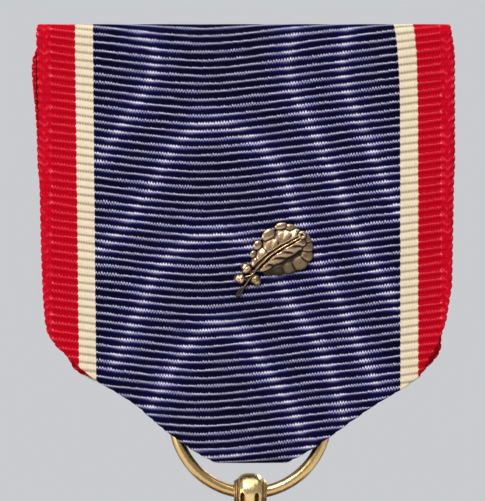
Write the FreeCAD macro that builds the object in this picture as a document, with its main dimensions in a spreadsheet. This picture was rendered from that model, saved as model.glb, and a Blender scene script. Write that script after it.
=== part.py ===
"""A hanging medal: a folded ribbon on a pin brooch, an oak leaf device, a suspension ring and a cross pendant.

The medal hangs as worn: +Z is up, the front faces -Y and +X is to the viewer's right. The origin is on the
axis of the closed pin. All sizes are in millimetres and live in the spreadsheet called sizes.
"""
import FreeCAD, Part
import os
import re
import Sketcher

SIZES = {
    # ribbon: one strip, front layer and back layer, rolled over the brooch bar and folded at the tip
    "ribbon_width": 34.9,
    "ribbon_shift": -0.4,
    "ribbon_thick": 0.35,
    "ribbon_top": 2.4,
    "ribbon_drop": 36.6,
    "ribbon_side": 26.6,
    "side_inset": 1.1,
    "shoulder_half": 5.2,
    "shoulder_rise": 1.7,
    "tip_half": 3.0,
    "pocket_top": 0.9,
    "pocket_tip": 1.4,
    "pocket_full_depth": 24.4,
    "hang_plane": -3.0,
    "stitch_pitch": 3.49,
    "stitch_length": 1.745,
    "stitch_radius": 0.125,
    "stitch_stand_off": 0.22,
    "stitch_below": 5.4,
    # brooch
    "bar_width": 33.4,
    "bar_height": 3.2,
    "plate_back": -1.75,
    "plate_thick": 0.35,
    "plate_width": 30.0,
    "plate_height": 3.4,
    "plate_edge_round": 0.12,
    "rivet_spread": 8.0,
    "rivet_radius": 0.55,
    "rivet_head_radius": 0.95,
    "rivet_head_tall": 0.35,
    # pin and its hinge
    "hinge_place": -13.0,
    "ear_radius": 0.85,
    "ear_gap": 1.06,
    "ear_thick": 0.4,
    "foot_thick": 0.4,
    "foot_overhang": 0.7,
    "axle_radius": 0.35,
    "axle_head_tall": 0.25,
    "eye_radius": 0.95,
    "eye_thick": 0.94,
    "pin_radius": 0.45,
    "pin_reach": 23.8,
    "point_length": 3.8,
    "point_radius": 0.06,
    "running_gap": 0.05,
    # safety catch
    "catch_place": 12.5,
    "catch_width": 2.4,
    "catch_radius": 1.4,
    "catch_slot": 1.1,
    "catch_foot_half": 1.1,
    "catch_foot_thick": 0.45,
    "rotor_radius": 1.25,
    "rotor_width": 1.3,
    "journal_radius": 0.85,
    "rotor_bore": 0.55,
    "end_gap": 0.1,
    "lever_reach": 2.05,
    "lever_half_thick": 0.25,
    "lever_width": 1.0,
    # oak leaf device, measured along and across its own midrib
    "leaf_across": 2.1,
    "leaf_below": 19.8,
    "leaf_front": -4.07,
    "leaf_middle": 0.75,
    "leaf_length": 5.5,
    "leaf_half_width": 1.75,
    "leaf_height": 0.75,
    "lobe_radius": 0.75,
    "acorn_radius": 0.5,
    "acorn_cluster": -2.4,
    "stem_reach": 4.2,
    "stem_radius": 0.24,
    "leaf_tilt": 40.0,
    "prong_width": 0.8,
    "prong_thick": 0.3,
    "prong_length": 2.6,
    "prong_spread": 0.9,
    "prong_depth": 0.45,
    # suspension ring
    "ring_radius": 6.35,
    "wire_radius": 0.5,
    "ring_below": 32.76,
    "butt_gap": 0.08,
    # pendant
    "knob_width": 2.75,
    "knob_radius": 1.58,
    "knob_hole_radius": 0.65,
    "knob_hole_rise": 0.075,
    "knob_neck_half": 1.1,
    "knob_edge_round": 0.35,
    "cross_height": 48.0,
    "cross_width": 45.0,
    "cross_drop": 1.9,
    "arm_end_half": 7.6,
    "arm_root_half": 3.9,
    "arm_root_reach": 5.25,
    "web_thick": 1.9,
    "rim_thick": 2.6,
    "rim_width": 0.9,
    "disc_radius": 9.4,
    "disc_thick": 2.8,
    "wreath_radius": 7.5,
    "wreath_half_width": 1.35,
    "wreath_height": 0.8,
    "boss_radius": 5.3,
    "boss_height": 1.2,
    # how far a cutting shape reaches past what it cuts
    "cut_reach": 3.0,
}

NEAR = 0.01

doc = FreeCAD.newDocument("medal")
sheet = doc.addObject("Spreadsheet::Sheet", "sizes")
for row, (alias, size) in enumerate(SIZES.items(), start=1):
    sheet.set(f"A{row}", alias)
    sheet.set(f"B{row}", str(size))
    sheet.setAlias(f"B{row}", alias)
doc.recompute()


def bound(text):
    """The expression with each size named in full, as other objects need it."""
    return re.sub(r"[a-z]+(?:_[a-z]+)+", lambda found: "sizes." + found.group(), text)


def value(text):
    """What an expression comes to, in millimetres or degrees."""
    found = sheet.evalExpression(bound(text))
    return float(getattr(found, "Value", found))


def tie(thing, **sizes):
    """Binds properties to expressions: tie(pad, Length="bar_height")."""
    for name, text in sizes.items():
        thing.setExpression(name.replace("__", "."), bound(text))


def place(thing, x="0", y="0", z="0"):
    tie(thing, Placement__Base__x=x, Placement__Base__y=y, Placement__Base__z=z)


def primitive(kind, name, **sizes):
    thing = doc.addObject("Part::" + kind, name)
    tie(thing, **sizes)
    return thing


def joined(kind, label, things):
    """One node made of several objects: a MultiFuse where they touch, a Compound where they stay apart."""
    whole = doc.addObject("Part::" + kind, label)
    setattr(whole, "Links" if kind == "Compound" else "Shapes", things)
    return whole


class Arc:
    """The stretch between two corners of an outline is an arc about this centre."""

    def __init__(self, x, y, turns_left=True):
        self.x = x
        self.y = y
        self.turns_left = turns_left


def sketch_on(body, plane, name):
    sketch = body.newObject("Sketcher::SketchObject", name)
    origin = [feature for feature in body.Origin.OriginFeatures if feature.Role == plane]
    sketch.AttachmentSupport = [(origin[0], "")]
    sketch.MapMode = "FlatFace"
    return sketch


def pin_down(sketch, curve, point, x=None, y=None):
    """Holds one point of a curve at a place given by one or two expressions."""
    for kind, text in (("DistanceX", x), ("DistanceY", y)):
        if text is not None:
            at = sketch.addConstraint(Sketcher.Constraint(kind, -1, 1, curve, point, value(text)))
            sketch.setExpression(f"Constraints[{at}]", bound(text))


def add_outline(sketch, steps):
    """Draws a closed outline. Steps are corners (x, y) as expressions, with an Arc between two of them."""
    corners = [step for step in steps if not isinstance(step, Arc)]
    spots = [FreeCAD.Vector(value(x), value(y), 0) for x, y in corners]
    curves = []
    centres = []
    for number, spot in enumerate(spots):
        following = spots[(number + 1) % len(spots)]
        after = steps[(steps.index(corners[number]) + 1) % len(steps)]
        if isinstance(after, Arc):
            middle = FreeCAD.Vector(value(after.x), value(after.y), 0)
            first, last = (spot, following) if after.turns_left else (following, spot)
            circle = Part.Circle(middle, FreeCAD.Vector(0, 0, 1), (spot - middle).Length)
            arc = Part.ArcOfCircle(circle, circle.parameter(first), circle.parameter(last))
            curve = sketch.addGeometry(arc, False)
            chord = following - spot
            centres.append((curve, {"y": after.y} if abs(chord.x) > abs(chord.y) else {"x": after.x}))
            curves.append((curve, 1, 2) if after.turns_left else (curve, 2, 1))
        else:
            curves.append((sketch.addGeometry(Part.LineSegment(spot, following), False), 1, 2))
    for number, (curve, start, _) in enumerate(curves):
        before, _, joins = curves[number - 1]
        sketch.addConstraint(Sketcher.Constraint("Coincident", before, joins, curve, start))
    for (curve, start, _), corner in zip(curves, corners):
        pin_down(sketch, curve, start, *corner)
    for curve, centre in centres:
        pin_down(sketch, curve, 3, **centre)


def add_circle(sketch, radius, x="0", y="0"):
    middle = FreeCAD.Vector(value(x), value(y), 0)
    curve = sketch.addGeometry(Part.Circle(middle, FreeCAD.Vector(0, 0, 1), value(radius)), False)
    at = sketch.addConstraint(Sketcher.Constraint("Radius", curve, value(radius)))
    sketch.setExpression(f"Constraints[{at}]", bound(radius))
    pin_down(sketch, curve, 3, x, y)


def box_outline(left, right, low, high):
    return [(left, low), (right, low), (right, high), (left, high)]


def mirrored(half):
    """An outline symmetric about the sketch's vertical axis, from its right-hand corners, bottom to top."""
    other = [("-(" + x + ")", y) for x, y in reversed(half)]
    return half + other


def new_body(label):
    return doc.addObject("PartDesign::Body", label)


def feature(kind, body, sketch, length=None, both_ways=True):
    """A pad or pocket of a sketch: both ways through the sketch's plane, or one way from it."""
    made = body.newObject("PartDesign::" + kind, kind.lower())
    made.Profile = sketch
    if both_ways:
        made.SideType = "Symmetric"
    if length is None:
        made.Type = "ThroughAll"
    else:
        tie(made, Length=length)
    doc.recompute()
    return made


def pad(body, plane, length, *outlines, both_ways=True):
    sketch = sketch_on(body, plane, "profile")
    for outline in outlines:
        add_outline(sketch, outline)
    return feature("Pad", body, sketch, length, both_ways)


def pad_circle(body, plane, length, radius):
    sketch = sketch_on(body, plane, "circle")
    add_circle(sketch, radius)
    return feature("Pad", body, sketch, length)


def pocket(body, plane, outline, length=None):
    sketch = sketch_on(body, plane, "cutout")
    add_outline(sketch, outline)
    return feature("Pocket", body, sketch, length)


def drill(body, plane, radius, places, length=None, both_ways=True):
    sketch = sketch_on(body, plane, "holes")
    for x, y in places:
        add_circle(sketch, radius, x, y)
    return feature("Pocket", body, sketch, length, both_ways)


def turned(body, plane, outline, axis):
    """A full turn of an outline about one of its own body's axes."""
    sketch = sketch_on(body, plane, "section")
    add_outline(sketch, outline)
    made = body.newObject("PartDesign::Revolution", "revolution")
    made.Profile = sketch
    made.ReferenceAxis = (sketch, [axis])
    made.Angle = 360
    doc.recompute()
    return made


def soften(body, base, radius, picks):
    """Rounds the edges of a feature that a test on the edge's middle picks out."""
    names = []
    for number, edge in enumerate(base.Shape.Edges, start=1):
        middle = edge.valueAt((edge.FirstParameter + edge.LastParameter) / 2)
        if picks(middle):
            names.append(f"Edge{number}")
    made = body.newObject("PartDesign::Fillet", "rounding")
    made.Base = (base, names)
    tie(made, Radius=radius)
    doc.recompute()
    return made


RIVET_PLACES = [("-rivet_spread", "0"), ("rivet_spread", "0")]


def ribbon():
    """The strip's two layers: a loop in side view, trimmed to a point. Its own origin is in the ring's plane."""
    body = new_body("ribbon")
    place(body, "ribbon_shift", "hang_plane")

    def loop(extra):
        top = "ribbon_top - ribbon_thick - pocket_top / 2"
        low = "ribbon_top - ribbon_drop + ribbon_thick + pocket_tip / 2"
        wide_from = "ribbon_top - pocket_full_depth"
        near = f"(pocket_top / 2 + {extra})"
        far = f"(pocket_tip / 2 + {extra})"
        return [
            (far, low),
            (far, wide_from),
            (near, top),
            Arc("0", top),
            ("-" + near, top),
            ("-" + far, wide_from),
            ("-" + far, low),
            Arc("0", low),
        ]

    pad(body, "YZ_Plane", "ribbon_width", loop("ribbon_thick"), loop("0"))
    corner = "ribbon_top - ribbon_side"
    tip = "ribbon_top - ribbon_drop"
    for side, centre in (("", "- ribbon_shift"), ("-", "+ ribbon_shift")):
        waste = [
            (f"{side}(tip_half {centre})", tip),
            (f"{side}(tip_half {centre})", f"{tip} - cut_reach"),
            (f"{side}(ribbon_width / 2 + cut_reach)", f"{tip} - cut_reach"),
            (f"{side}(ribbon_width / 2 + cut_reach)", "ribbon_top"),
            (f"{side}(ribbon_width / 2)", "ribbon_top"),
            (f"{side}(ribbon_width / 2 - side_inset)", corner),
            (f"{side}(shoulder_half {centre})", f"{tip} + shoulder_rise"),
        ]
        pocket(body, "XZ_Plane", waste)
    holes = [(f"{x} - ribbon_shift", y) for x, y in RIVET_PLACES]
    drill(body, "XZ_Plane", "rivet_radius", holes, "ribbon_thick * 5", both_ways=False)
    return body


def ribbon_stitches():
    """A row of thread stitches below the plate that closes the strip's loop."""
    stitches = []
    y = "hang_plane + pocket_top / 2 + ribbon_thick + stitch_stand_off"
    for number in range(-4, 5):
        stitch = primitive("Cylinder", f"stitch_{number + 4}", Radius="stitch_radius", Height="stitch_length")
        stitch.Placement.Rotation = FreeCAD.Rotation(FreeCAD.Vector(0, 1, 0), 90)
        x = f"ribbon_shift + {number} * stitch_pitch - stitch_length / 2"
        place(stitch, x, y, "ribbon_top - stitch_below")
        stitches.append(stitch)
    return joined("Compound", "ribbon_stitches", stitches)


def brooch_bar():
    """The flat bar that the ribbon rolls over, round on its long edges."""
    body = new_body("brooch_bar")
    place(body, "ribbon_shift", "hang_plane")
    top = "ribbon_top - ribbon_thick - pocket_top / 2"
    low = f"{top} + pocket_top - bar_height"
    half = "pocket_top / 2"
    stadium = [(half, low), (half, top), Arc("0", top), ("-" + half, top), ("-" + half, low), Arc("0", low)]
    pad(body, "YZ_Plane", "bar_width", stadium)
    drill(body, "XZ_Plane", "rivet_radius", [(f"{x} - ribbon_shift", y) for x, y in RIVET_PLACES])
    return body


def brooch_plate():
    """The rear plate, a long plate with round ends."""
    body = new_body("brooch_plate")
    place(body, y="plate_back")
    end = "(plate_width / 2 - plate_height / 2)"
    half = "plate_height / 2"
    stadium = [
        ("-" + end, "-" + half),
        (end, "-" + half),
        Arc(end, "0"),
        (end, half),
        ("-" + end, half),
        Arc("-" + end, "0"),
    ]
    slab = pad(body, "XZ_Plane", "plate_thick", stadium, both_ways=False)
    soften(body, slab, "plate_edge_round", lambda middle: abs(middle.y) < NEAR)
    drill(body, "XZ_Plane", "rivet_radius", RIVET_PLACES)
    return body


def plate_rivets():
    """Two rivets through the plate, the ribbon's back layer and the bar, with low heads at the back."""
    rivets = []
    for number, (x, z) in enumerate(RIVET_PLACES):
        shank = primitive(
            "Cylinder",
            f"shank_{number}",
            Radius="rivet_radius",
            Height="plate_back - hang_plane + pocket_top / 2",
        )
        head = primitive(
            "Cone",
            f"head_{number}",
            Radius1="rivet_head_radius",
            Radius2="rivet_head_radius * 0.7",
            Height="rivet_head_tall",
        )
        for piece, y in ((shank, "hang_plane - pocket_top / 2"), (head, "plate_back")):
            piece.Placement.Rotation = FreeCAD.Rotation(FreeCAD.Vector(1, 0, 0), -90)
            place(piece, x, y, z)
        rivets.append(joined("MultiFuse", f"rivet_{number}", [shank, head]))
    return joined("Compound", "plate_rivets", rivets)


def hinge_bracket():
    """A foot on the plate and two ears that hold the pin's axle. Its own origin is on the axle."""
    body = new_body("hinge_bracket")
    place(body, "hinge_place")
    radius = "ear_radius"
    ear = [("-" + radius, "plate_back"), (radius, "plate_back"), (radius, "0"), Arc("0", "0"), ("-" + radius, "0")]
    pad(body, "XY_Plane", "ear_gap + 2 * ear_thick", ear)
    reach = "(ear_radius + foot_overhang)"
    foot = box_outline("-" + reach, reach, "plate_back", "plate_back + foot_thick")
    pad(body, "XY_Plane", "ear_gap + 2 * ear_thick", foot)
    inside = box_outline("-cut_reach", "cut_reach", "plate_back + foot_thick", "cut_reach")
    pocket(body, "XY_Plane", inside, "ear_gap")
    drill(body, "XY_Plane", "axle_radius", [("0", "0")])
    return body


def hinge_rivet():
    """The pin's axle, headed at both ends."""
    length = "(ear_gap + 2 * ear_thick)"
    pieces = [primitive("Cylinder", "axle", Radius="axle_radius", Height=length)]
    place(pieces[0], "hinge_place", z=f"-{length} / 2")
    for name, rise in (("top", f"{length} / 2"), ("bottom", f"-{length} / 2 - axle_head_tall")):
        head = primitive("Cylinder", f"axle_head_{name}", Radius="axle_radius * 1.7", Height="axle_head_tall")
        place(head, "hinge_place", z=rise)
        pieces.append(head)
    return joined("MultiFuse", "hinge_rivet", pieces)


def pin_stem():
    """The pin: a flat drilled eye and a round wire drawn down to a point. Its own origin is on the axle."""
    body = new_body("pin_stem")
    place(body, "hinge_place")
    wire = [
        ("eye_radius * 0.6", "0"),
        ("pin_reach", "0"),
        ("pin_reach + point_length", "0"),
        ("pin_reach + point_length", "point_radius"),
        ("pin_reach", "pin_radius"),
        ("eye_radius * 0.6", "pin_radius"),
    ]
    turned(body, "XY_Plane", wire, "H_Axis")
    pad_circle(body, "XY_Plane", "eye_thick", "eye_radius")
    drill(body, "XY_Plane", "axle_radius + running_gap", [("0", "0")])
    return body


def catch_base():
    """The fixed half of the catch: two slotted cheeks on a foot. Its own origin is on the pin's axis."""
    body = new_body("catch_base")
    place(body, "catch_place")
    pad_circle(body, "YZ_Plane", "catch_width", "catch_radius")
    pad(body, "YZ_Plane", "catch_width", box_outline("plate_back", "0", "-catch_foot_half", "catch_foot_half"))
    between = box_outline("plate_back + catch_foot_thick", "cut_reach", "-cut_reach", "cut_reach")
    pocket(body, "YZ_Plane", between, "rotor_width + end_gap")
    drill(body, "YZ_Plane", "journal_radius + running_gap", [("0", "0")])
    pocket(body, "YZ_Plane", box_outline("0", "cut_reach", "-catch_slot / 2", "catch_slot / 2"))
    return body


def catch_rotor():
    """The turning half of the catch: a slotted sleeve with a thumb lever."""
    body = new_body("catch_rotor")
    place(body, "catch_place")
    pad_circle(body, "YZ_Plane", "rotor_width", "rotor_radius")
    pad_circle(body, "YZ_Plane", "catch_width - end_gap", "journal_radius")
    lever = box_outline("-lever_half_thick", "lever_half_thick", "rotor_bore + end_gap", "lever_reach")
    pad(body, "YZ_Plane", "lever_width", lever)
    drill(body, "YZ_Plane", "rotor_bore", [("0", "0")])
    mouth = "(rotor_bore - running_gap)"
    pocket(body, "YZ_Plane", box_outline("0", "cut_reach", "-" + mouth, mouth))
    return body


def oak_leaf():
    """The struck device: a lobed leaf on a stem with three acorns, flat at the back."""
    pieces = []

    def lump(name, along, across, long, wide, tall):
        """An egg-shaped swelling, placed along and across the leaf's own midrib."""
        piece = primitive("Ellipsoid", name, Radius1=wide, Radius2=long, Radius3=tall)
        place(piece, along, "0", across)
        pieces.append(piece)

    lump("blade", "leaf_middle", "0", "leaf_length / 2", "leaf_half_width * 0.85", "leaf_height")
    lobes = 4
    for number in range(lobes):
        share = number / (lobes - 1) - 0.5
        along = f"leaf_middle + leaf_length * {0.62 * share:.3f}"
        reach = f"leaf_half_width * {0.72 - 0.9 * share * share:.3f}"
        for side, sign in (("upper", ""), ("lower", "-")):
            lump(f"lobe_{side}_{number}", along, sign + reach, "lobe_radius", "lobe_radius", "leaf_height * 0.9")
    radius = "acorn_radius"
    lump("acorn_cups", "acorn_cluster", "acorn_radius", "acorn_radius * 1.4", "acorn_radius * 1.4", radius)
    for number, (along, across) in enumerate(((0.4, 2.4), (-1.5, 1.7), (0.3, -0.4))):
        spot = (f"acorn_cluster + acorn_radius * {along}", f"acorn_radius * {across}")
        lump(f"acorn_{number}", *spot, radius, radius, radius)
    stem = primitive("Cylinder", "leaf_stem", Radius="stem_radius", Height="stem_reach")
    stem.Placement.Rotation = FreeCAD.Rotation(FreeCAD.Vector(0, 1, 0), -90)
    pieces.append(stem)
    device = joined("MultiFuse", "device_lumps", pieces)
    front = primitive("Box", "front_half", Length="20", Width="2", Height="20")
    place(front, "-10", "-2", "-10")
    leaf = doc.addObject("Part::Common", "oak_leaf")
    leaf.Base = device
    leaf.Tool = front
    leaf.Placement.Rotation = FreeCAD.Rotation(FreeCAD.Vector(0, 1, 0), -value("leaf_tilt"))
    place(leaf, "leaf_across", "leaf_front", "ribbon_top - leaf_below")
    return leaf


def device_prongs():
    """Two flat prongs from the leaf's back, through the front layer and bent outwards behind it."""
    prongs = []
    centre_up = "ribbon_top - leaf_below"
    depth = "(ribbon_thick + prong_depth)"
    for number, sign in enumerate(("-", "")):
        leg = primitive("Box", f"leg_{number}", Length="prong_thick", Width=depth, Height="prong_width")
        bend = primitive("Box", f"bend_{number}", Length="prong_length", Width="prong_thick", Height="prong_width")
        inner = f"leaf_across {sign or '+'} prong_spread - prong_thick / 2"
        place(leg, inner, "leaf_front", f"{centre_up} - prong_width / 2")
        start = f"{inner} + prong_thick - prong_length" if sign else inner
        place(bend, start, f"leaf_front + {depth} - prong_thick", f"{centre_up} - prong_width / 2")
        prongs.append(joined("MultiFuse", f"prong_{number}", [leg, bend]))
    return joined("Compound", "device_prongs", prongs)


RING_UP = "(ribbon_top - ring_below)"
HOLE_UP = f"({RING_UP} - ring_radius + knob_hole_rise)"
CROSS_TOP = f"({HOLE_UP} - cross_drop)"
CROSS_UP = f"({CROSS_TOP} - cross_height / 2)"


def suspension_ring():
    """A wire ring, cut and butted at the top."""
    hoop = primitive("Torus", "hoop", Radius1="ring_radius", Radius2="wire_radius")
    hoop.Placement.Rotation = FreeCAD.Rotation(FreeCAD.Vector(1, 0, 0), 90)
    place(hoop, "0", "hang_plane", RING_UP)
    slit = primitive("Box", "butt_joint", Length="butt_gap", Width="wire_radius * 4", Height="wire_radius * 4")
    place(slit, "-butt_gap / 2", "hang_plane - wire_radius * 2", f"{RING_UP} + ring_radius - wire_radius * 2")
    ring = doc.addObject("Part::Cut", "suspension_ring")
    ring.Base = hoop
    ring.Tool = slit
    return ring


def suspension_knob():
    """The domed lug that hangs on the ring. Its own origin is on its hole's axis."""
    body = new_body("suspension_knob")
    place(body, y="hang_plane", z=HOLE_UP)
    pad_circle(body, "YZ_Plane", "knob_width", "knob_radius")
    neck = box_outline("-knob_neck_half", "knob_neck_half", "-cross_drop", "0")
    block = pad(body, "YZ_Plane", "knob_width", neck)
    soften(body, block, "knob_edge_round", lambda middle: middle.z > NEAR)
    drill(body, "YZ_Plane", "knob_hole_radius", [("0", "0")])
    return body


def cross_outline(inset):
    """The outline of a cross with arms that widen to straight ends, drawn smaller by an inset."""
    root = f"(arm_root_half - {inset})"
    turn = "arm_root_reach"
    end = f"(arm_end_half - {inset})"
    tall = f"(cross_height / 2 - {inset})"
    wide = f"(cross_width / 2 - {inset})"
    right = [
        (end, "-" + tall),
        (root, "-" + turn),
        (turn, "-" + root),
        (wide, "-" + end),
        (wide, end),
        (turn, root),
        (root, turn),
        (end, tall),
    ]
    return mirrored(right)


def pendant_cross():
    """The struck cross: a thin web, a raised rim round its edge and a disc at its centre."""
    body = new_body("pendant_cross")
    place(body, y="hang_plane", z=CROSS_UP)
    pad(body, "XZ_Plane", "web_thick", cross_outline("0"))
    pad(body, "XZ_Plane", "rim_thick", cross_outline("0"), cross_outline("rim_width"))
    pad_circle(body, "XZ_Plane", "disc_thick", "disc_radius")
    return body


def pendant_wreath():
    """The raised wreath on the disc, as a rounded ring."""
    body = new_body("pendant_wreath")
    place(body, y="hang_plane - disc_thick / 2", z=CROSS_UP)
    half = "wreath_half_width"
    side = "wreath_height * 0.4"
    section = [
        (f"wreath_radius - {half}", "0"),
        (f"wreath_radius + {half}", "0"),
        (f"wreath_radius + {half}", f"-{side}"),
        (f"wreath_radius + {half} * 0.5", "-wreath_height"),
        (f"wreath_radius - {half} * 0.5", "-wreath_height"),
        (f"wreath_radius - {half}", f"-{side}"),
    ]
    turned(body, "XY_Plane", section, "V_Axis")
    return body


def pendant_boss():
    """The plain domed boss inside the wreath."""
    body = new_body("pendant_boss")
    place(body, y="hang_plane - disc_thick / 2", z=CROSS_UP)
    sag = "(boss_radius * boss_radius / boss_height - boss_height) / 2"
    section = [("0", "0"), ("boss_radius", "0"), Arc("0", sag, turns_left=False), ("0", "-boss_height")]
    turned(body, "XY_Plane", section, "V_Axis")
    return body


nodes = [
    ribbon(),
    ribbon_stitches(),
    brooch_bar(),
    brooch_plate(),
    plate_rivets(),
    hinge_bracket(),
    hinge_rivet(),
    pin_stem(),
    catch_base(),
    catch_rotor(),
    oak_leaf(),
    device_prongs(),
    suspension_ring(),
    suspension_knob(),
    pendant_cross(),
    pendant_wreath(),
    pendant_boss(),
]

doc.recompute()
for thing in doc.Objects:
    if "Invalid" in thing.State or "Error" in thing.State:
        owner = ", ".join(parent.Label for parent in thing.InList)
        raise RuntimeError(f"{thing.Label} in {owner} failed: {thing.State}")
for node in nodes:
    if node.Shape.isNull() or not node.Shape.isValid() or not node.Shape.Solids:
        raise RuntimeError(f"{node.Label} has no valid solid")

os.makedirs("parts", exist_ok=True)
for node in nodes:
    node.Shape.exportStep(f"parts/{node.Label}.step")
    box = node.Shape.BoundBox
    print(
        f"{node.Label}: {len(node.Shape.Solids)} solid(s), {node.Shape.Volume:.2f} mm3,",
        f"x {box.XMin:.2f}..{box.XMax:.2f}, y {box.YMin:.2f}..{box.YMax:.2f}, z {box.ZMin:.2f}..{box.ZMax:.2f}",
    )
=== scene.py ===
"""Looks of a hanging medal, built round its measured frame: silk ribbon, struck metal and a plain studio."""
import math

import bpy
import numpy as np
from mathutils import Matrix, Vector


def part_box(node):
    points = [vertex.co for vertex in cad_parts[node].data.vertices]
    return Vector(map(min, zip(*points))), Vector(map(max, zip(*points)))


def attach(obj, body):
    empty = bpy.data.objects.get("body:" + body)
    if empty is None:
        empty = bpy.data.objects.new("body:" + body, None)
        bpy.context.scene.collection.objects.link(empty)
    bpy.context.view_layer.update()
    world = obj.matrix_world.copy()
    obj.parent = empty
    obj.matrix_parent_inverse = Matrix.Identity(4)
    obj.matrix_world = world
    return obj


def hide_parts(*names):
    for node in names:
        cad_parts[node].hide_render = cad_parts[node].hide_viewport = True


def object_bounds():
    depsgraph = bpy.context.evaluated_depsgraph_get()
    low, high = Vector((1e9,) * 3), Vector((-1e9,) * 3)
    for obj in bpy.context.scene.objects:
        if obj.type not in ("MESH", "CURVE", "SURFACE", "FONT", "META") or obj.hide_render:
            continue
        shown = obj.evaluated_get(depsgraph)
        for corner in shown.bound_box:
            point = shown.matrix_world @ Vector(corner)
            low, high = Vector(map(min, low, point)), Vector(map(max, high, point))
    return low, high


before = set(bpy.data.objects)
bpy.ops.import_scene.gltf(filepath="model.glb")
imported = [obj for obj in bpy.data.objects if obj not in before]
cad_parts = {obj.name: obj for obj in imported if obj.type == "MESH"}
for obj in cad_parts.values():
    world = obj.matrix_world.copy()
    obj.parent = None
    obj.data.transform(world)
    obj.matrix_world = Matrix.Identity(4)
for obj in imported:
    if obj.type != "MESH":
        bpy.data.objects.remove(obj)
CAD_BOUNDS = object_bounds()

bl_info = {
    "name": "Hanging Medal",
    "version": (1, 0, 0),
    "blender": (4, 5, 0),
    "location": "View3D > Sidebar > Medal",
    "description": "Builds the cloth, metalwork and studio of a hanging medal",
    "category": "Add Mesh",
}

MM = 0.001


def mm_box(node):
    """A frame node's lowest and highest corners in millimetres."""
    low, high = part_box(node)
    return np.array(low) / MM, np.array(high) / MM


def smoothstep(x):
    """0 below 0, 1 above 1, and a soft rise between."""
    x = np.clip(x, 0.0, 1.0)
    return x * x * (3 - 2 * x)


def hump(x):
    """1 at zero, falling off softly to both sides."""
    return np.exp(-(x**2))


def dome(share):
    """Height of a rounded back: 1 where share is 0, down to 0 where share is 1."""
    return np.sqrt(np.clip(1 - share, 0, 1))


def circle_turns(count):
    """Angles that share out a full circle."""
    return np.linspace(0, 2 * math.pi, count, endpoint=False)


def scaled(colour, factors):
    """A colour with each channel made stronger or weaker, and kept below 1."""
    return tuple(min(1.0, c * f) for c, f in zip(colour, factors))


# ---------------------------------------------------------------- settings


def length(name, description, default):
    """A size in the panel, in metres."""
    return bpy.props.FloatProperty(
        name=name, description=description, default=default, min=0.0, precision=5, subtype="DISTANCE", unit="LENGTH"
    )


def colour(name, description, default):
    """A colour in the panel."""
    return bpy.props.FloatVectorProperty(
        name=name, description=description, default=default, size=3, min=0.0, max=1.0, subtype="COLOR"
    )


def factor(name, description, default, high=1.0):
    """A share or a strength in the panel."""
    return bpy.props.FloatProperty(name=name, description=description, default=default, min=0.0, max=high)


class RibbonSettings(bpy.types.PropertyGroup):
    """Sizes and colours of the silk ribbon."""

    rib_pitch: length("Rib Pitch", "Distance from one cord of the weave to the next", 0.6629 * MM)
    rib_height: length("Rib Height", "How far a cord stands above the groove beside it", 0.12 * MM)
    thread_pitch: length("Thread Pitch", "Width of one silk thread", 0.235 * MM)
    red: colour("Edge Red", "Colour of the two outer stripes", (0.42, 0.0010, 0.009))
    cream: colour("Cream", "Colour of the two narrow stripes", (0.77, 0.66, 0.50))
    blue: colour("Navy", "Colour of the wide middle stripe", (0.0018, 0.0014, 0.014))
    # colour of the highlight painted on the crowns of the navy cords
    blue_sheen: colour("Navy Highlight", "Colour that the navy silk shows on the crown of a cord", (0.74, 0.71, 1.0))


class MetalSettings(bpy.types.PropertyGroup):
    """Colours of the metals."""

    gilt: colour("Gilt", "Worn gilding of the ring and the lug", (0.88, 0.62, 0.28))
    bronze: colour("Bronze", "Struck bronze of the leaf and the pendant", (0.50, 0.36, 0.215))
    brass: colour("Brass", "Brooch fittings", (0.62, 0.47, 0.22))
    steel: colour("Pin Steel", "Drawn wire of the pin", (0.58, 0.57, 0.54))
    # the dark colour of the hollows, which is also the oak leaf's painted shade on its lower side
    tarnish_and_shade: colour("TarnishAndShade", "Dark tone that settles in the hollows", (0.020, 0.011, 0.005))


class StageSettings(bpy.types.PropertyGroup):
    """Light, floor and camera."""

    daylight: factor("Surround Light", "Strength of the even light from all sides", 0.28, 5.0)
    backdrop: factor("Backdrop", "Brightness of the plain surround behind the medal", 0.62, 5.0)
    key: factor("Key Light", "Power of the soft light above the front, in watts", 2.15, 100.0)
    ceiling: factor("Ceiling Light", "Power of the wide light overhead, in watts", 7.0, 100.0)
    floor: colour("Floor", "Colour of the plain floor", (0.60, 0.595, 0.585))
    distance: length("Camera Distance", "From the ribbon's front to the camera", 0.5)


# ---------------------------------------------------------------- meshes


def new_piece(name, points, faces, material, body, replaced):
    """A smooth mesh object from points in millimetres, riding on a body in place of a frame node."""
    mesh = bpy.data.meshes.new(name)
    mesh.from_pydata((np.asarray(points, float) * MM).tolist(), [], faces)
    mesh.validate()
    mesh.update()
    mesh.polygons.foreach_set("use_smooth", [True] * len(mesh.polygons))
    mesh.materials.append(material)
    piece = bpy.data.objects.new(name, mesh)
    bpy.context.scene.collection.objects.link(piece)
    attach(piece, body)
    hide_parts(replaced)
    return piece


def grid_faces(rows, columns, start=0, closed_rows=False, closed_columns=False):
    """Quads over a grid of points that is stored row by row."""
    faces = []
    for r in range(rows if closed_rows else rows - 1):
        a, b = start + r * columns, start + ((r + 1) % rows) * columns
        for c in range(columns if closed_columns else columns - 1):
            d = (c + 1) % columns
            faces.append((a + c, a + d, b + d, b + c))
    return faces


def store(piece, name, values, kind="FLOAT"):
    """Keeps a number, or a vector, per point under a name that materials read."""
    attribute = piece.data.attributes.new(name, kind, "POINT")
    attribute.data.foreach_set("value" if kind == "FLOAT" else "vector", np.asarray(values, np.float32).ravel())


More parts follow.
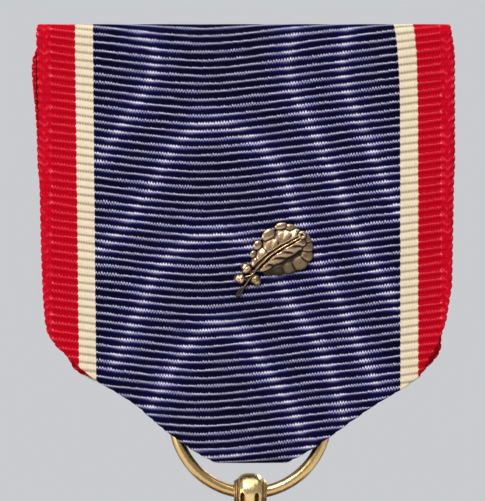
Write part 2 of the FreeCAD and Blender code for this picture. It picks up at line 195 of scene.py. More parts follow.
def store_hollows_and_shade(piece, reach=6, gain=1.0, added=None):
    """Marks hollows near 1, worn edges near 0 and flat metal at a half, from how the surface curves.

    reach is how many times the curve is evened out. added gives more darkness by place in millimetres, which the leaf,
    the ring and the lug use partly for painted shade."""
    mesh = piece.data
    count = len(mesh.vertices)
    points = np.empty(count * 3)
    mesh.vertices.foreach_get("co", points)
    points = points.reshape(-1, 3) / MM
    normals = np.array([v.normal for v in mesh.vertices])
    edges = np.empty(len(mesh.edges) * 2, int)
    mesh.edges.foreach_get("vertices", edges)
    a, b = edges.reshape(-1, 2).T
    step = points[b] - points[a]
    size = np.maximum((step**2).sum(1), 1e-8)
    both = np.bincount(a, minlength=count) + np.bincount(b, minlength=count)
    rise = np.bincount(a, (normals[a] * step).sum(1) / size, count)
    rise += np.bincount(b, -(normals[b] * step).sum(1) / size, count)
    curve = np.clip(rise / np.maximum(both, 1), -6.0, 6.0)
    for _ in range(reach):
        spread = np.bincount(a, curve[b], count) + np.bincount(b, curve[a], count)
        curve = 0.4 * curve + 0.6 * spread / np.maximum(both, 1)
    darker = added(points) if added else 0.0
    hollow_and_shade = np.clip(0.5 + np.clip(gain * curve, -0.25, 0.5) + darker, 0.0, 1.0)
    store(piece, "hollow_and_shade", hollow_and_shade)


class Shape:
    """Points and faces of a piece that is put together from several closed forms."""

    def __init__(self):
        self.points = []
        self.faces = []

    def add(self, points, faces):
        start = len(self.points)
        self.points += [tuple(p) for p in np.asarray(points, float)]
        self.faces += [tuple(start + i for i in f) for f in faces]

    def tube(self, centres, radii, sides=12):
        """A closed tube along centres."""
        centres = np.asarray(centres, float)
        radii = np.broadcast_to(radii, len(centres))
        tangents = np.gradient(centres, axis=0)
        tangents /= np.linalg.norm(tangents, axis=1)[:, None]
        side = np.cross(tangents, (0.0, 1.0, 0.0))
        side /= np.maximum(np.linalg.norm(side, axis=1)[:, None], 1e-9)
        up = np.cross(side, tangents)
        turn = circle_turns(sides)
        rings = centres[:, None] + radii[:, None, None] * (
            np.cos(turn)[None, :, None] * side[:, None] + np.sin(turn)[None, :, None] * up[:, None]
        )
        faces = grid_faces(len(centres), sides, closed_columns=True)
        last = (len(centres) - 1) * sides
        faces.append(tuple(range(sides))[::-1])
        faces.append(tuple(last + i for i in range(sides)))
        self.add(rings.reshape(-1, 3), faces)

    def ball(self, centre, radii, rows=10, sides=16):
        """A closed rounded form with its own radius along each axis."""
        lat = np.linspace(0, math.pi, rows + 1)[1:-1]
        lon = circle_turns(sides)
        ring = np.stack(
            [
                np.outer(np.sin(lat), np.cos(lon)),
                np.outer(np.sin(lat), np.sin(lon)),
                np.outer(np.cos(lat), np.ones(sides)),
            ],
            -1,
        ).reshape(-1, 3)
        points = np.vstack([ring, [[0, 0, 1], [0, 0, -1]]]) * np.asarray(radii) + np.asarray(centre)
        faces = [f[::-1] for f in grid_faces(rows - 1, sides, closed_columns=True)]
        top, low = len(ring), len(ring) + 1
        last = (rows - 2) * sides
        for i in range(sides):
            j = (i + 1) % sides
            faces.append((top, i, j))
            faces.append((low, last + j, last + i))
        self.add(points, faces)


def melt(piece, voxel, rounds=2):
    """Joins a piece's overlapping forms into one skin and softens it, as casting does."""
    modifier = piece.modifiers.new("melt", "REMESH")
    modifier.mode = "VOXEL"
    modifier.voxel_size = voxel * MM
    modifier.use_smooth_shade = True
    soften = piece.modifiers.new("soften", "SMOOTH")
    soften.iterations = rounds
    graph = bpy.context.evaluated_depsgraph_get()
    skin = bpy.data.meshes.new_from_object(piece.evaluated_get(graph))
    material = piece.data.materials[0]
    piece.modifiers.clear()
    piece.data = skin
    skin.materials.clear()
    skin.materials.append(material)
    skin.polygons.foreach_set("use_smooth", [True] * len(skin.polygons))


def relief_faces(height, inside):
    """Faces over the cells of a relief whose four corners are inside."""
    rows, columns = height.shape
    kept = inside[:-1, :-1] & inside[1:, :-1] & inside[:-1, 1:] & inside[1:, 1:]
    return [
        (r * columns + c, r * columns + c + 1, (r + 1) * columns + c + 1, (r + 1) * columns + c)
        for r, c in zip(*np.nonzero(kept))
    ]


def without_spares(points, faces):
    """Leaves out the points that no face uses."""
    used = np.zeros(len(points), bool)
    for f in faces:
        used[list(f)] = True
    number = np.cumsum(used) - 1
    return np.asarray(points)[used], [tuple(int(number[i]) for i in f) for f in faces]


def with_skirt(points, faces, depth):
    """Adds a wall from the open border of a relief back to depth."""
    edges = {}
    for f in faces:
        for a, b in zip(f, f[1:] + f[:1]):
            edges[(a, b)] = True
    border = [(a, b) for a, b in edges if (b, a) not in edges]
    points = [tuple(p) for p in points]
    below = {}
    for a, b in border:
        for i in (a, b):
            if i not in below:
                below[i] = len(points)
                x, _, z = points[i]
                points.append((x, depth, z))
        faces.append((b, a, below[a], below[b]))
    return points, faces


# ---------------------------------------------------------------- materials


class Wires:
    """Adds nodes to one tree and joins them. An input is a socket, a number or a colour."""

    def __init__(self, tree):
        self.tree = tree

    def add(self, kind, inputs=None, out=0, **settings):
        node = self.tree.nodes.new(kind)
        for key, value in settings.items():
            setattr(node, key, value)
        for key, value in (inputs or {}).items():
            if isinstance(value, bpy.types.NodeSocket):
                self.tree.links.new(value, node.inputs[key])
            else:
                node.inputs[key].default_value = value
        return node.outputs[out] if len(node.outputs) else None

    def math(self, operation, a, b=0.0, c=0.0, clamp=False):
        return self.add("ShaderNodeMath", {0: a, 1: b, 2: c}, operation=operation, use_clamp=clamp)

    def times(self, a, b, clamp=False):
        return self.math("MULTIPLY", a, b, clamp=clamp)

    def plus(self, a, b):
        return self.math("ADD", a, b)

    def minus(self, a, b):
        return self.math("SUBTRACT", a, b)

    def times_plus(self, a, b, c, clamp=False):
        return self.math("MULTIPLY_ADD", a, b, c, clamp)

    def link(self, value, socket):
        self.tree.links.new(value, socket)

    def attribute(self, name, out):
        """A value kept on the mesh: its vector at output 1, its number at output 2."""
        return self.add("ShaderNodeAttribute", out=out, attribute_name=name)

    def spread(self, value, low, high, to_low=0.0, to_high=1.0, soft=False):
        """Moves a value from one range to another and keeps it inside."""
        kind = "SMOOTHSTEP" if soft else "LINEAR"
        inputs = {"Value": value, "From Min": low, "From Max": high, "To Min": to_low, "To Max": to_high}
        return self.add("ShaderNodeMapRange", inputs, interpolation_type=kind)

    def mix(self, share, a, b):
        """Goes from colour a to colour b."""
        a, b = ((*x, 1.0) if isinstance(x, tuple) and len(x) == 3 else x for x in (a, b))
        return self.add("ShaderNodeMix", {0: share, 6: a, 7: b}, out=2, data_type="RGBA")

    def ramp(self, value, stops):
        """A value by position, from pairs of position and brightness."""
        node = self.tree.nodes.new("ShaderNodeValToRGB")
        elements = node.color_ramp.elements
        while len(elements) < len(stops):
            elements.new(0.5)
        for element, (place, level) in zip(elements, stops):
            element.position = place
            element.color = (level, level, level, 1.0)
        self.tree.links.new(value, node.inputs[0])
        return node.outputs[0]

    def noise(self, vector, scale, detail=2.0, roughness=0.5, dimensions="3D"):
        inputs = {"Vector": vector, "Scale": scale, "Detail": detail, "Roughness": roughness}
        return self.add("ShaderNodeTexNoise", inputs, noise_dimensions=dimensions)


def new_group(name, inputs, outputs):
    """A shader node group with float inputs, or vector ones where the default has three numbers."""
    tree = bpy.data.node_groups.new(name, "ShaderNodeTree")
    for label, default in inputs:
        kind = "NodeSocketVector" if isinstance(default, tuple) else "NodeSocketFloat"
        socket = tree.interface.new_socket(name=label, in_out="INPUT", socket_type=kind)
        socket.default_value = default
    for label in outputs:
        tree.interface.new_socket(name=label, in_out="OUTPUT", socket_type="NodeSocketFloat")
    wires = Wires(tree)
    entry = tree.nodes.new("NodeGroupInput")
    leave = tree.nodes.new("NodeGroupOutput")
    return wires, entry.outputs, leave.inputs


def use_group(wires, name, inputs):
    """Places a node group and gives its outputs."""
    return wires.add("ShaderNodeGroup", inputs, node_tree=bpy.data.node_groups[name]).node.outputs


def new_material(name):
    """An empty material and its wires."""
    material = bpy.data.materials.new(name)
    material.use_nodes = True
    material.node_tree.nodes.clear()
    return material, Wires(material.node_tree)


def finish_material(material, wires, height, bump, inputs):
    """Ends a material in a Principled BSDF with a bump of the given depth in millimetres."""
    normal = wires.add("ShaderNodeBump", {"Height": height, "Strength": 1.0, "Distance": bump * MM})
    shader = wires.add("ShaderNodeBsdfPrincipled", {**inputs, "Normal": normal})
    wires.add("ShaderNodeOutputMaterial", {"Surface": shader})
    return material


def build_groups():
    """The effects that several materials share."""
    if "Silk Cords" in bpy.data.node_groups:
        return
    w, given, out = new_group(
        "Silk Cords",
        [("Across", 0.0), ("Rib", 0.0), ("Thread Pitch", 0.235), ("Unevenness", 0.08)],
        ["Phase", "Thread", "Twist"],
    )
    slow = w.add("ShaderNodeCombineXYZ", {"X": w.times(given["Across"], 0.4), "Y": given["Rib"], "Z": 0.0})
    drift = w.minus(w.noise(slow, 0.5, 1.0, dimensions="2D"), 0.5)
    rib = w.times_plus(drift, given["Unevenness"], given["Rib"])
    half_on = w.plus(rib, 0.5)
    w.link(w.math("FRACT", half_on), out["Phase"])
    count = w.math("DIVIDE", given["Across"], given["Thread Pitch"])
    wave = w.math("SINE", w.times(count, 2 * math.pi))
    w.link(w.times_plus(wave, 0.5, 0.5), out["Thread"])
    cell = {"X": w.math("FLOOR", count), "Y": w.math("FLOOR", half_on), "Z": 0.0}
    cell = w.add("ShaderNodeCombineXYZ", cell)
    w.link(w.add("ShaderNodeTexWhiteNoise", {"Vector": cell}, noise_dimensions="2D"), out["Twist"])

    w, given, out = new_group(
        "Worn Metal",
        [("Position", (0.0, 0.0, 0.0)), ("HollowAndShade", 0.5), ("Darkening", 1.0), ("Polish", 0.3), ("Grain", 6.0)],
        ["TarnishAndShade", "Wear", "Roughness", "Height"],
    )
    cloud = w.noise(given["Position"], 0.9, 4.0)
    grain = w.noise(given["Position"], given["Grain"], 3.0, 0.6)
    uneven = w.times_plus(w.minus(cloud, 0.5), 0.22, given["HollowAndShade"])
    tarnish_and_shade = w.times(w.spread(uneven, 0.50, 0.80, soft=True), given["Darkening"], clamp=True)
    w.link(tarnish_and_shade, out["TarnishAndShade"])
    w.link(w.spread(uneven, 0.46, 0.25, soft=True), out["Wear"])
    rough = w.times_plus(w.minus(grain, 0.5), 0.25, given["Polish"])
    rough = w.times_plus(w.minus(cloud, 0.5), 0.2, rough)
    w.link(w.times_plus(tarnish_and_shade, 0.25, rough, clamp=True), out["Roughness"])
    w.link(w.times_plus(cloud, 0.4, grain), out["Height"])


def position_mm(wires, stretch=(1.0, 1.0, 1.0)):
    """The place on the piece in millimetres, stretched for a drawn or brushed grain."""
    place = wires.add("ShaderNodeTexCoord", out=3)
    scale = tuple(s / MM for s in stretch)
    return wires.add("ShaderNodeMapping", {"Vector": place, "Scale": scale})


def metal(
    name, base, polish=0.3, darkening=1.0, grain=6.0, bump=0.015, stretch=(1, 1, 1), patina_and_shade=None, struck=False
):
    """A metal that tarnishes in its hollows, with brighter worn edges and a fine grain.

    A struck metal reads its hollows, and on some pieces painted shade, from its mesh. A colour given for them replaces
    the usual one."""
    build_groups()
    patina_and_shade = patina_and_shade or tuple(bpy.context.scene.medal_metal.tarnish_and_shade)
    base = tuple(base)
    material, w = new_material(name)
    hollow_and_shade = w.attribute("hollow_and_shade", 2) if struck else 0.5
    given = {"Position": position_mm(w, stretch), "HollowAndShade": hollow_and_shade}
    worn = use_group(w, "Worn Metal", {**given, "Darkening": darkening, "Polish": polish, "Grain": grain})
    shade = w.spread(w.noise(position_mm(w), 0.22, 4.0), 0.3, 0.75)
    tone = w.mix(shade, base, scaled(base, (0.84, 0.76, 0.66)))
    light = tuple(min(1.0, c * s + 0.03) for c, s in zip(base, (1.25, 1.15, 1.12)))
    tone = w.mix(worn["Wear"], tone, light)
    tone = w.mix(worn["TarnishAndShade"], tone, patina_and_shade)
    metallic = w.spread(worn["TarnishAndShade"], 0.0, 1.0, 1.0, 0.55)
    height = worn["Height"]
    if struck == "pebbled":
        pebbled = w.attribute("field", 2)
        cells = w.add("ShaderNodeTexVoronoi", {"Vector": position_mm(w), "Scale": 1.9}, feature="SMOOTH_F1")
        bead = w.spread(cells, 0.05, 0.6, 1.0, 0.0, soft=True)
        height = w.times_plus(w.times(bead, pebbled), 3.0, height)
        tone = w.mix(w.times(w.minus(0.75, bead), pebbled, clamp=True), tone, patina_and_shade)
    looks = {"Base Color": tone, "Metallic": metallic, "Roughness": worn["Roughness"]}
    return finish_material(material, w, height, bump, looks)


# ---------------------------------------------------------------- ribbon

# how far each edge is from the ribbon's middle line, by the drop below its top
FRONT_LEFT = (
    (0.0, 17.40), (0.8, 17.46), (2.8, 17.38), (5.8, 17.29), (11.8, 17.21), (14.8, 17.13), (18.8, 17.04),
    (22.8, 16.88), (24.8, 16.71), (25.8, 16.50), (26.8, 15.83), (27.8, 14.75), (28.8, 13.62), (29.8, 12.32),
    (30.8, 10.60), (31.8, 9.05), (32.8, 7.95), (33.8, 6.80), (34.4, 6.00), (35.1, 5.00), (35.9, 3.90),
    (36.6, 2.70),
)
FRONT_RIGHT = (
    (0.0, 17.12), (0.8, 17.21), (1.8, 17.38), (2.8, 17.46), (11.8, 17.46), (12.8, 17.38), (17.8, 17.29),
    (21.8, 17.21), (22.8, 17.04), (24.8, 16.71), (25.8, 16.38), (26.8, 15.96), (27.8, 15.38), (28.6, 14.95),
    (29.4, 14.50), (30.2, 13.45), (31.1, 11.85), (31.9, 10.55), (32.8, 9.25), (33.4, 8.40), (34.0, 7.60),
    (34.7, 6.60), (35.3, 5.70), (35.9, 4.80), (36.6, 3.60),
)
BACK_LEFT = (
    (0.0, 17.30), (2.0, 17.45), (2.8, 17.79), (3.8, 17.87), (4.8, 17.79), (5.8, 17.70), (6.8, 17.60),
    (8.8, 17.46), (11.8, 17.38), (14.8, 17.05), (20.0, 16.85),
)
BACK_RIGHT = ((0.0, 17.05), (4.0, 17.20), (12.0, 17.25), (20.0, 17.00))
# edges of the stripes from the left selvedge, in the flat cloth
STRIPES = (0.0, 3.1, 4.7, 30.2, 31.8, 34.9)
RIBBON_WIDTH = STRIPES[-1]
# half the depth of the roll over the bar, and the heights where the strip starts and ends at the back
TOP_HALF_DEPTH = 0.8
TAIL_END = -3.9
SEAM_END = -2.2
# how far below the roll the front and the back reach their full distance, and how far the tail lies in
SPREAD_RUN = 23.6
TAIL_TUCK = 0.26
# the cords' bow: its slope, where its middle is and how blunt it is there
BOW_SLOPE, BOW_PLACE, BOW_BLUNT = 0.131, -4.19, 2.5
FIRST_RIB = 0.150
ROWS_PER_RIB = 7
COLUMNS = 101
# radius of the turned edges, more of it at the folded corners, the turn's steps and the flap's
EDGE_ROLL, CORNER_ROLL = 0.13, 0.05
ROLL_SHARES = (0.25, 0.5, 0.75, 1.0)
FLAP_SHARES = (0.12, 0.4, 0.7, 1.0)
WRAP = 0.35
# the flaps stop this far from the tip, which leaves room for the ring
NOTCH = 4.5
# how far along the strip the front ends
FRONT_END = 36
# the back layer shows beside the point: how far, at which drop and over what length
PEEK_LEFT = (0.85, 29.0, 1.1)
PEEK_RIGHT = (0.75, 27.6, 1.4)
PEEK_BASE = 0.12
BACK_TABLES_END = 20
SHEEN_LINE_REACH = 1.3
# pale lines of painted sheen, as places across from the ring's middle and down from the ribbon's top
SHEEN_LINE_POINTS = (
    ((-9.4, 0.9), (-8.4, 1.5), (-7.8, 2.8), (-8.6, 5.3), (-10.4, 8.0), (-11.7, 9.8), (-12.6, 11.3)),
    ((-12.6, 19.0), (-10.4, 16.7), (-8.4, 13.8), (-6.3, 10.1), (-4.6, 8.7), (-2.9, 8.2), (-1.1, 8.7),
    (0.8, 10.1),
     (2.5, 12.2), (3.1, 13.8), (4.9, 18.4), (6.2, 20.9), (7.7, 23.8), (9.1, 27.2), (10.6, 30.2)),
    ((-11.4, 28.4), (-10.0, 25.5), (-9.2, 23.8), (-8.4, 21.5), (-6.7, 19.2), (-4.6, 17.8), (-2.5, 17.4),
    (-0.9, 18.0),
     (0.8, 19.0), (2.1, 20.5), (3.3, 23.4), (5.0, 25.5), (6.2, 27.6), (7.2, 30.5), (7.8, 33.0)),
    ((-8.3, 31.9), (-6.3, 28.4), (-4.6, 25.9), (-2.9, 25.0), (-1.3, 25.3), (0.0, 26.7), (1.6, 29.2),
    (3.3, 31.7),
     (4.3, 34.2)),
    ((3.6, 0.6), (3.1, 3.4), (3.7, 5.9), (5.4, 9.2), (7.1, 13.0), (8.3, 16.3), (10.0, 19.7), (11.6, 22.6),
    (12.5, 24.0)),
    ((8.1, 0.6), (7.6, 3.8), (8.3, 6.3), (10.0, 10.1), (11.2, 13.4), (12.4, 15.7)),
)


def loop_path(low, high):
    """The strip's middle in side view: the tail, over the top, down the front, round the tip and up the back."""
    middle, deep = (low[1] + high[1]) / 2, (high[1] - low[1]) / 2
    top = high[2] - TOP_HALF_DEPTH
    tip = low[2] + deep
    fine = 0.02

    def depth(z):
        return TOP_HALF_DEPTH + (deep - TOP_HALF_DEPTH) * smoothstep((top - z) / SPREAD_RUN)

    tail = np.arange(TAIL_END, top, fine)
    front = np.arange(top, tip, -fine)
    back = np.arange(tip, SEAM_END, fine)
    turn = np.linspace(0, math.pi, 120)[:-1]
    tuck = TAIL_TUCK * smoothstep((-0.6 - tail) / 1.6)
    parts = (
        (middle + TOP_HALF_DEPTH - tuck, tail),
        (middle + TOP_HALF_DEPTH * np.cos(turn), top + TOP_HALF_DEPTH * np.sin(turn)),
        (middle - depth(front), front),
        (middle - deep * np.cos(turn), tip - deep * np.sin(turn)),
        (middle + depth(back), back),
    )
    path = np.hstack([np.array(part) for part in parts]).T
    along = np.concatenate([[0.0], np.cumsum(np.linalg.norm(np.diff(path, axis=0), axis=1))])
    return path, along - along[np.argmax(path[:, 1])]


def table(pairs, drop):
    """Reads a table of drops and distances."""
    return np.interp(drop, *np.array(pairs).T)


def painted_sheen_lines(x, drop):
    """1 on a pale line of painted sheen, falling off to its sides."""
    nearest = np.full(x.shape, 1e9)
    for line in SHEEN_LINE_POINTS:
        line = np.array(line)
        for (x0, d0), (x1, d1) in zip(line[:-1], line[1:]):
            dx, dd = x1 - x0, d1 - d0
            share = np.clip(((x - x0) * dx + (drop - d0) * dd) / (dx * dx + dd * dd), 0, 1)
            nearest = np.minimum(nearest, np.hypot(x - x0 - share * dx, drop - d0 - share * dd))
    return hump(nearest / SHEEN_LINE_REACH)


def bow(x):
    """How far a cord hangs below its middle at x, negative where it rises towards the edges."""
    return -BOW_SLOPE * (np.sqrt((x - BOW_PLACE) ** 2 + BOW_BLUNT**2) - BOW_BLUNT)


def cord_height(ribs, relief):
    """A cord's rounded back above its groove."""
    across = np.abs((ribs + 0.5 - 0.06) % 1.0 * 2 - 1)
    return relief * (dome(across**2.4) - 0.75)


def cloth_wave(s, x):
    """Slow waviness of the cloth."""
    return 0.035 * np.sin(0.31 * s + 0.22 * x) + 0.03 * np.sin(0.17 * s - 0.41 * x + 1.0)


def folded_edges(drop, front, middle):
    """Left and right edge of the folded shape, where front is 1 on the front layer and 0 on the back one."""
    edges = []
    for front_table, back_table, (reach, place, length), widest, sign in (
        (FRONT_LEFT, BACK_LEFT, PEEK_LEFT, 16.85, -1),
        (FRONT_RIGHT, BACK_RIGHT, PEEK_RIGHT, 17.0, 1),
    ):
        before = table(front_table, drop)
        peek = reach * hump((drop - place) / length) - PEEK_BASE
        behind = np.where(drop < BACK_TABLES_END, table(back_table, drop), np.minimum(before + peek, widest))
        edges.append(middle + sign * (front * before + (1 - front) * behind))
    return edges


def stripe_marks(x, drop, low, high):
    """Turns places across the folded ribbon into places across the flat cloth, so the stripes run right."""
    middle = (low + high) / 2
    seams_top = np.exp(-np.clip(drop, 0, None) / 2.5)
    fall = np.clip(drop, 0, 30) / 26
    bounds = (
        low + 0 * drop,
        middle - 14.25 + 0.33 * fall,
        middle - 12.70 + 0.25 * fall,
        middle + 12.87 - 0.55 * seams_top,
        middle + 14.42 - 0.40 * seams_top,
        high + 0 * drop,
    )
    marks = None
    for i in range(5):
        share = (x - bounds[i]) / (bounds[i + 1] - bounds[i])
        here = STRIPES[i] + share * (STRIPES[i + 1] - STRIPES[i])
        marks = here if i == 0 else np.where(x >= bounds[i], here, marks)
    return marks


def build_ribbon(settings):
    """The ribbon as one strip with woven cords, rolled over the bar and turned in along the point's edges."""
    low, high = mm_box("ribbon")
    middle = (low[0] + high[0]) / 2
    path, along = loop_path(low, high)
    slope = np.gradient(path, along, axis=0)
    pitch = settings.rib_pitch / MM
    relief = settings.rib_height / MM
    start, end = along[0], along[-1]
    first = math.floor((start - FIRST_RIB) / pitch) - 4
    last = math.ceil((end - FIRST_RIB) / pitch) + 4
    ribs = np.arange(first * ROWS_PER_RIB, last * ROWS_PER_RIB + 1) / ROWS_PER_RIB
    straight = FIRST_RIB + pitch * ribs
    straight = straight[(straight > start - 2.6) & (straight < end + 0.1)]
    ribs = (straight - FIRST_RIB) / pitch
    bowed = 1 - smoothstep((straight - 45) / 22)
    rise = cord_height(ribs, relief)

    def place(s):
        """Where the cloth's middle lies and which way it faces, at each place along the strip."""
        s = np.clip(s, start, end)
        y, z, ny, nz = (np.interp(s, along, row) for row in (*path.T, slope[:, 1], -slope[:, 0]))
        size = np.hypot(ny, nz)
        return y, z, ny / size, nz / size

    def edges(s):
        front = smoothstep((s + 1.2) / 2.4) * smoothstep((38.6 - s) / 2.4)
        return folded_edges(high[2] - place(s)[1], front, middle)

    left, right = edges(straight)
    for _ in range(25):
        left = edges(straight + bow(left) * bowed)[0]
        right = edges(straight + bow(right) * bowed)[1]
    tucked = smoothstep((np.stack([-(left - middle), right - middle]) - 16.4) / -1.0)
    rolls = EDGE_ROLL + CORNER_ROLL * tucked
    left, right = left + rolls[0], right - rolls[1]

    # the visible width between the turned edges
    shares = np.linspace(0, 1, COLUMNS)
    shares = shares + 0.012 * np.sin(2 * math.pi * shares)
    x = left[:, None] + (right - left)[:, None] * shares
    s = np.clip(straight[:, None] + bow(x) * bowed[:, None], start, end)
    y, z, ny, nz = place(s)
    lift = rise[:, None] + cloth_wave(s, x) * smoothstep((s - 0.5) / 6) * (s < FRONT_END)
    front = np.stack([x, y + ny * lift, z + nz * lift, x], -1)

    # the edges, rolled in and laid flat behind
    sides = []
    for sign, edge, radius, outer in ((-1, left, rolls[0], low[0]), (1, right, rolls[1], high[0])):
        y, z, ny, nz = place(straight + bow(edge) * bowed)
        spare = np.minimum(np.abs(outer - edge), 0.85 * np.abs(edge - middle)) + WRAP
        made = []
        for share in ROLL_SHARES:
            turn = share * math.pi
            deep = radius - (radius + rise) * math.cos(turn)
            side = edge + sign * (radius + rise) * math.sin(turn)
            made.append((side, y - ny * deep, z - nz * deep, edge + sign * radius * turn))
        for share in FLAP_SHARES:
            back = np.maximum(spare - math.pi * radius, 0.06) * share
            deep = 2 * radius + 0.3 * rise
            flat_x = edge + sign * (back + math.pi * radius)
            made.append((edge - sign * back, y - ny * deep, z - nz * deep, flat_x))
        sides.append(np.array(made).transpose(2, 0, 1))
    cloth = np.concatenate([sides[0][:, ::-1], front, sides[1]], 1)

    rows, width = cloth.shape[:2]
    x, drop = cloth[..., 3], high[2] - cloth[..., 2]
    s = np.repeat(straight[:, None], width, 1)
    drop_flat = np.where(s < FRONT_END, s + bow(x) - 0.457, 62 - s)
    marks = stripe_marks(x, drop, low[0], high[0])
    # the third value is 1 on the pale lines of painted sheen
    weave = [marks, np.repeat(ribs[:, None], width, 1), painted_sheen_lines(x, drop_flat)]
    points = np.dstack([cloth[..., :3], *weave]).reshape(-1, 6)
    faces = np.array(grid_faces(rows, width))
    row, column = np.divmod(faces[:, 0], width)
    in_flap = (column < 4) | (column >= width - 5)
    near_tip = np.abs(straight[row] - along[np.argmin(path[:, 1])]) < NOTCH
    lengths = np.linalg.norm(points[faces[:, 0], :3] - points[faces[:, 3], :3], axis=1)
    keep = ~(in_flap & near_tip) & (lengths > 1e-4)
    points, faces = without_spares(points, faces[keep].tolist())
    material = ribbon_material(settings)
    piece = new_piece("ribbon_strip", points[:, :3], faces, material, "drape", "ribbon")
    store(piece, "weave", points[:, 3:], "FLOAT_VECTOR")
    return piece


def navy_tone(w, settings, silk, sheen_lines, patch, painted_highlight):
    """Navy silk: nearly black in the grooves, with a painted violet glow round the crowns that is stronger on the
    painted sheen lines and varies in patches, and a painted highlight on the crowns.
    """
    navy = tuple(settings.blue)
    sheen = tuple(settings.blue_sheen)
    glow = w.times_plus(sheen_lines, 0.60, w.spread(patch, 0.45, 0.75, 0.0, 0.30), clamp=True)
    below = w.ramp(silk["Phase"], ((0.0, 0.15), (0.35, 0.1), (0.5, 1.0), (0.75, 0.8), (1.0, 0.15)))
    # navy brightened to violet round each crown: a painted glow
    ground = w.mix(w.times(glow, below), navy, scaled(navy, (9.0, 7.5, 11.0)))
    narrow = w.math("POWER", sheen_lines, 6.0)
    # a painted highlight on each crown, paler on the painted sheen lines
    return w.mix(painted_highlight, ground, w.mix(narrow, sheen, scaled(sheen, (1.15, 1.15, 1.15))))


def cream_tone(w, settings, silk, patch):
    """Cream silk: straw-coloured strands, and painted brown shade in the grooves."""
    cream = tuple(settings.cream)
    groove = w.ramp(
        silk["Phase"],
        ((0.0, 1.0), (0.08, 0.85), (0.20, 0.30), (0.30, 0.0), (0.72, 0.0), (0.82, 0.30), (0.92, 0.85),
        (1.0, 1.0)),
    )
    # painted shade in the grooves, lighter across the middle of each thread
    groove_shade = w.times(groove, w.spread(silk["Thread"], 0.0, 1.0, 1.0, 0.55))
    strand = w.times(silk["Thread"], w.spread(silk["Twist"], 0.0, 1.0, 0.0, 0.7))
    tone = w.mix(w.times_plus(patch, 0.3, w.times(strand, 0.6)), cream, scaled(cream, (0.88, 0.86, 0.70)))
    return w.mix(groove_shade, tone, scaled(cream, (0.42, 0.37, 0.33)))


def red_tone(w, settings, silk, crown, painted_highlight, near, plait):
    """Red silk with a painted highlight on each crown, and slanted stitches and flecks along the selvedge."""
    red = tuple(settings.red)
    pale = (0.93, 0.055, 0.095)
    # pale is the colour of the painted highlight, which the selvedge's stitches share
    tone = w.mix(w.times(painted_highlight, 0.9, clamp=True), red, pale)
    selvedge = w.mix(w.times(plait, 0.45), scaled(red, (1.15, 1.6, 1.4)), pale)
    tone = w.mix(w.spread(near, 0.60, 0.52), tone, selvedge)
    seam = w.spread(w.math("ABSOLUTE", w.minus(near, 0.56)), 0.02, 0.16, 1.0, 0.0)
    fleck = w.times(w.times(seam, crown), w.spread(silk["Twist"], 0.3, 0.9))
    return w.mix(fleck, tone, (0.95, 0.20, 0.26))


def ribbon_material(settings):
    """Corded silk: navy between cream and red stripes, with a painted highlight on the crown of every cord and pale
    lines of painted sheen.
    """
    build_groups()
    material, w = new_material("corded_silk")
    split = w.add("ShaderNodeSeparateXYZ", {"Vector": w.attribute("weave", 1)}).node
    across, rib, sheen_lines = split.outputs
    pitch = settings.thread_pitch / MM
    silk = use_group(w, "Silk Cords", {"Across": across, "Rib": rib, "Thread Pitch": pitch, "Unevenness": 0.28})
    place = w.add("ShaderNodeCombineXYZ", {"X": w.times(across, 0.7), "Y": rib})
    patch = w.noise(place, 0.6, 3.0)

    # painted highlight on the crown of each cord, with the threads as teeth along it
    narrow = w.math("POWER", sheen_lines, 6.0)
    teeth = w.times(w.minus(silk["Thread"], 0.5), w.spread(patch, 0.35, 0.65, 0.08, 0.30))
    stray = w.times(w.minus(silk["Twist"], 0.5), 0.07)
    offset = w.plus(w.minus(silk["Phase"], 0.5), w.plus(teeth, stray))
    broad = w.spread(w.times_plus(patch, 0.6, narrow), 0.15, 1.3, 0.50, 1.05)
    crown = w.ramp(
        w.plus(w.math("DIVIDE", offset, broad), 0.5),
        ((0.0, 0.0), (0.30, 0.0), (0.37, 0.12), (0.43, 0.62), (0.48, 1.0), (0.53, 1.0), (0.60, 0.52),
        (0.70, 0.16),
         (0.84, 0.03), (1.0, 0.0)),
    )
    ticks = w.times_plus(silk["Thread"], 0.85, 0.56)
    ticks = w.times(ticks, w.spread(silk["Twist"], 0.0, 1.0, 0.70, 1.20))
    # strength of the painted highlight, a little stronger on the pale lines of painted sheen
    painted_highlight = w.times(w.times(crown, ticks), w.times_plus(narrow, 0.14, 0.84), clamp=True)

    # how near the selvedge's stitches are, and their slant
    inward = 0.62
    from_left = w.math("ABSOLUTE", w.minus(across, inward))
    from_right = w.math("ABSOLUTE", w.minus(RIBBON_WIDTH - inward, across))
    near = w.math("MINIMUM", from_left, from_right)
    slant = w.math("FRACT", w.times_plus(near, 1.1, w.plus(rib, 0.15)))
    plait = w.spread(w.math("ABSOLUTE", w.minus(slant, 0.5)), 0.0, 0.32, 1.0, 0.0, soft=True)
    plait = w.times(plait, w.spread(silk["Twist"], 0.2, 1.0, 0.0, 1.0))

    # the stripes meet at slightly ragged edges
    ragged = w.times(w.minus(crown, 0.4), 0.10)
    fray = w.times_plus(w.minus(silk["Twist"], 0.5), 0.03, ragged)
    half = w.math("ABSOLUTE", w.minus(across, RIBBON_WIDTH / 2))
    is_cream = w.math("GREATER_THAN", w.plus(half, fray), RIBBON_WIDTH / 2 - STRIPES[2])
    is_red = w.math("GREATER_THAN", w.minus(half, fray), RIBBON_WIDTH / 2 - STRIPES[1])
    blue = navy_tone(w, settings, silk, sheen_lines, patch, painted_highlight)
    tone = w.mix(is_cream, blue, cream_tone(w, settings, silk, patch))
    tone = w.mix(is_red, tone, red_tone(w, settings, silk, crown, painted_highlight, near, plait))
    rough = w.times_plus(w.noise(place, 9.0, 2.0), 0.2, 0.55)
    height = w.times_plus(plait, 0.8, silk["Thread"])
    return finish_material(
        material, w, height, 0.02, {"Base Color": tone, "Roughness": rough, "Specular IOR Level": 0.02}
    )


